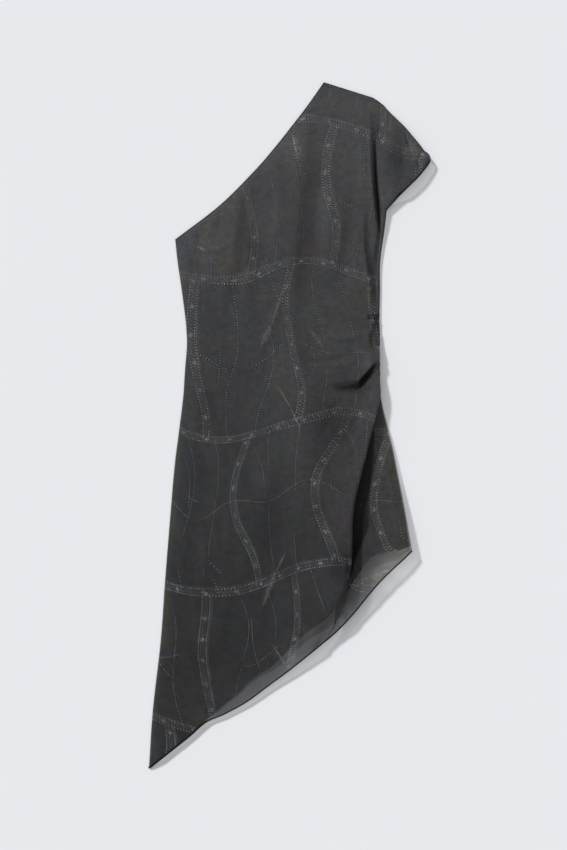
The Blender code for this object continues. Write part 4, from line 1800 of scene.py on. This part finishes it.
@dataclass
class RolledEdges:
    """Rolled and overlocked edges of the hem, the sleeve opening, the neckline and the shoulder. The thin
    dark tube along the shoulder seam also stands in for the shade along that edge.
    """

    form: DressForm
    hem_radius: float = 1.35
    tip_radius: float = 2.1
    kink_x: float = -165.0
    sleeve_radius: float = 1.7
    neck_radius: float = 0.75
    seam_radius: float = 0.6
    sides: int = 10

    def build(self, front: ClothGrid, material: bpy.types.Material) -> list[bpy.types.Object]:
        """Make the edges along the front's own edges.

        Args:
            front: The front's grid.
            material: Their material.

        Returns:
            The pieces.
        """
        form = self.form
        places = form.places(FrontPanel.row_step, FrontPanel.hip_step)
        hem = front.points[-1]
        tipped = 1 - smooth_step((hem[:, 0] - self.kink_x + 6) / 14)
        radius = self.hem_radius + (self.tip_radius - self.hem_radius) * tipped
        sleeve = front.points[places <= form.underarm_right, -1][3:]
        neck = front.points[places <= form.underarm_left, 0]
        pieces = []
        for name, path, size in (("hem_roll", hem, radius),
                                 ("sleeve_roll", sleeve - (self.sleeve_radius, 0, 0), self.sleeve_radius),
                                 ("neckline_roll", neck, self.neck_radius),
                                 # The shoulder seam, whose thin dark tube also stands in for the shade
                                 # along the top edge.
                                 ("shoulder_seam_and_shade", front.points[0], self.seam_radius)):
            path = path.copy()
            path[:, 2] = np.maximum(path[:, 2], size)
            pieces.append(show(name, tube_mesh(name, path, size, self.sides), material))
        return pieces


@dataclass
class Studio:
    """Pale floor, soft light from the upper left, and a camera straight above."""

    floor_size: float = 16.0
    sky: float = 0.55
    key: float = 0.45
    key_elevation: float = 30.0
    key_heading: float = -45.0
    key_softness: float = 6.5
    camera_height: float = 5.0
    pixel: float = 1.94 * MM
    image_width: int = 567
    image_height: int = 850
    middle_x: float = 290.0
    middle_y: float = 425.3

    def floor(self) -> None:
        """Lay the floor."""
        half = self.floor_size / 2
        mesh = bpy.data.meshes.new("floor")
        mesh.from_pydata([(-half, -half, 0), (half, -half, 0), (half, half, 0), (-half, half, 0)], [],
                         [(0, 1, 2, 3)])
        mesh.materials.append(PaleFloor().build())
        floor = bpy.data.objects.new("floor", mesh)
        bpy.context.scene.collection.objects.link(floor)

    def light(self) -> None:
        """Set the sky and the key light, which together give the floor its own colour."""
        world = bpy.data.worlds.new("studio")
        world.use_nodes = True
        world.node_tree.nodes["Background"].inputs["Color"].default_value = (1.0, 1.0, 1.0, 1.0)
        world.node_tree.nodes["Background"].inputs["Strength"].default_value = self.sky
        bpy.context.scene.world = world
        sun = bpy.data.lights.new("key", "SUN")
        elevation = math.radians(self.key_elevation)
        sun.energy = self.key * math.pi / math.sin(elevation)
        sun.angle = math.radians(self.key_softness)
        lamp = bpy.data.objects.new("key", sun)
        heading = math.radians(self.key_heading)
        way = Vector((math.cos(heading) * math.cos(elevation), math.sin(heading) * math.cos(elevation),
                      -math.sin(elevation)))
        lamp.rotation_euler = way.to_track_quat("-Z", "Y").to_euler()
        lamp.location = (-1.5, 1.5, 2.0)
        bpy.context.scene.collection.objects.link(lamp)

    def camera(self) -> None:
        """Hang the camera over the middle of the photographed frame."""
        data = bpy.data.cameras.new("camera")
        data.sensor_fit = "VERTICAL"
        data.sensor_height = 36.0
        data.lens = data.sensor_height * self.camera_height / (self.image_height * self.pixel)
        data.clip_end = 50.0
        camera = bpy.data.objects.new("camera", data)
        camera.location = ((self.image_width / 2 - self.middle_x) * self.pixel,
                           (self.middle_y - self.image_height / 2) * self.pixel, self.camera_height)
        bpy.context.scene.collection.objects.link(camera)
        bpy.context.scene.camera = camera
        bpy.context.scene.view_settings.view_transform = "Standard"


def write_sizes() -> None:
    """Bring the view layer up to date."""
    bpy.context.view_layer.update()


def report(piece: bpy.types.Object) -> None:
    """Log a piece's name and number of faces."""
    LOG.info("%s: %d faces", piece.name, len(piece.data.polygons))


def main() -> None:
    """Build the dress and its studio."""
    logging.basicConfig(level=logging.INFO, format="%(message)s")
    weave, dye, lattice, rubbed = FineWeave(), WashedDye(), StitchLattice(), RubbedMark()
    sheer = SheerMesh().build(weave, dye, lattice, rubbed)
    knit = DarkKnit().build(weave, dye)
    thread = RolledThread().build()
    form = DressForm()
    studio = Studio()
    studio.camera()
    studio.floor()
    studio.light()
    back = BackPanel(form).build(sheer)
    lining = LiningPanel(form).build(knit)
    front, grid = FrontPanel(form).build(sheer)
    edges = RolledEdges(form).build(grid, thread)
    for piece in (back, lining, front, *edges):
        report(piece)
    write_sizes()


if __name__ == "__main__":
    main()
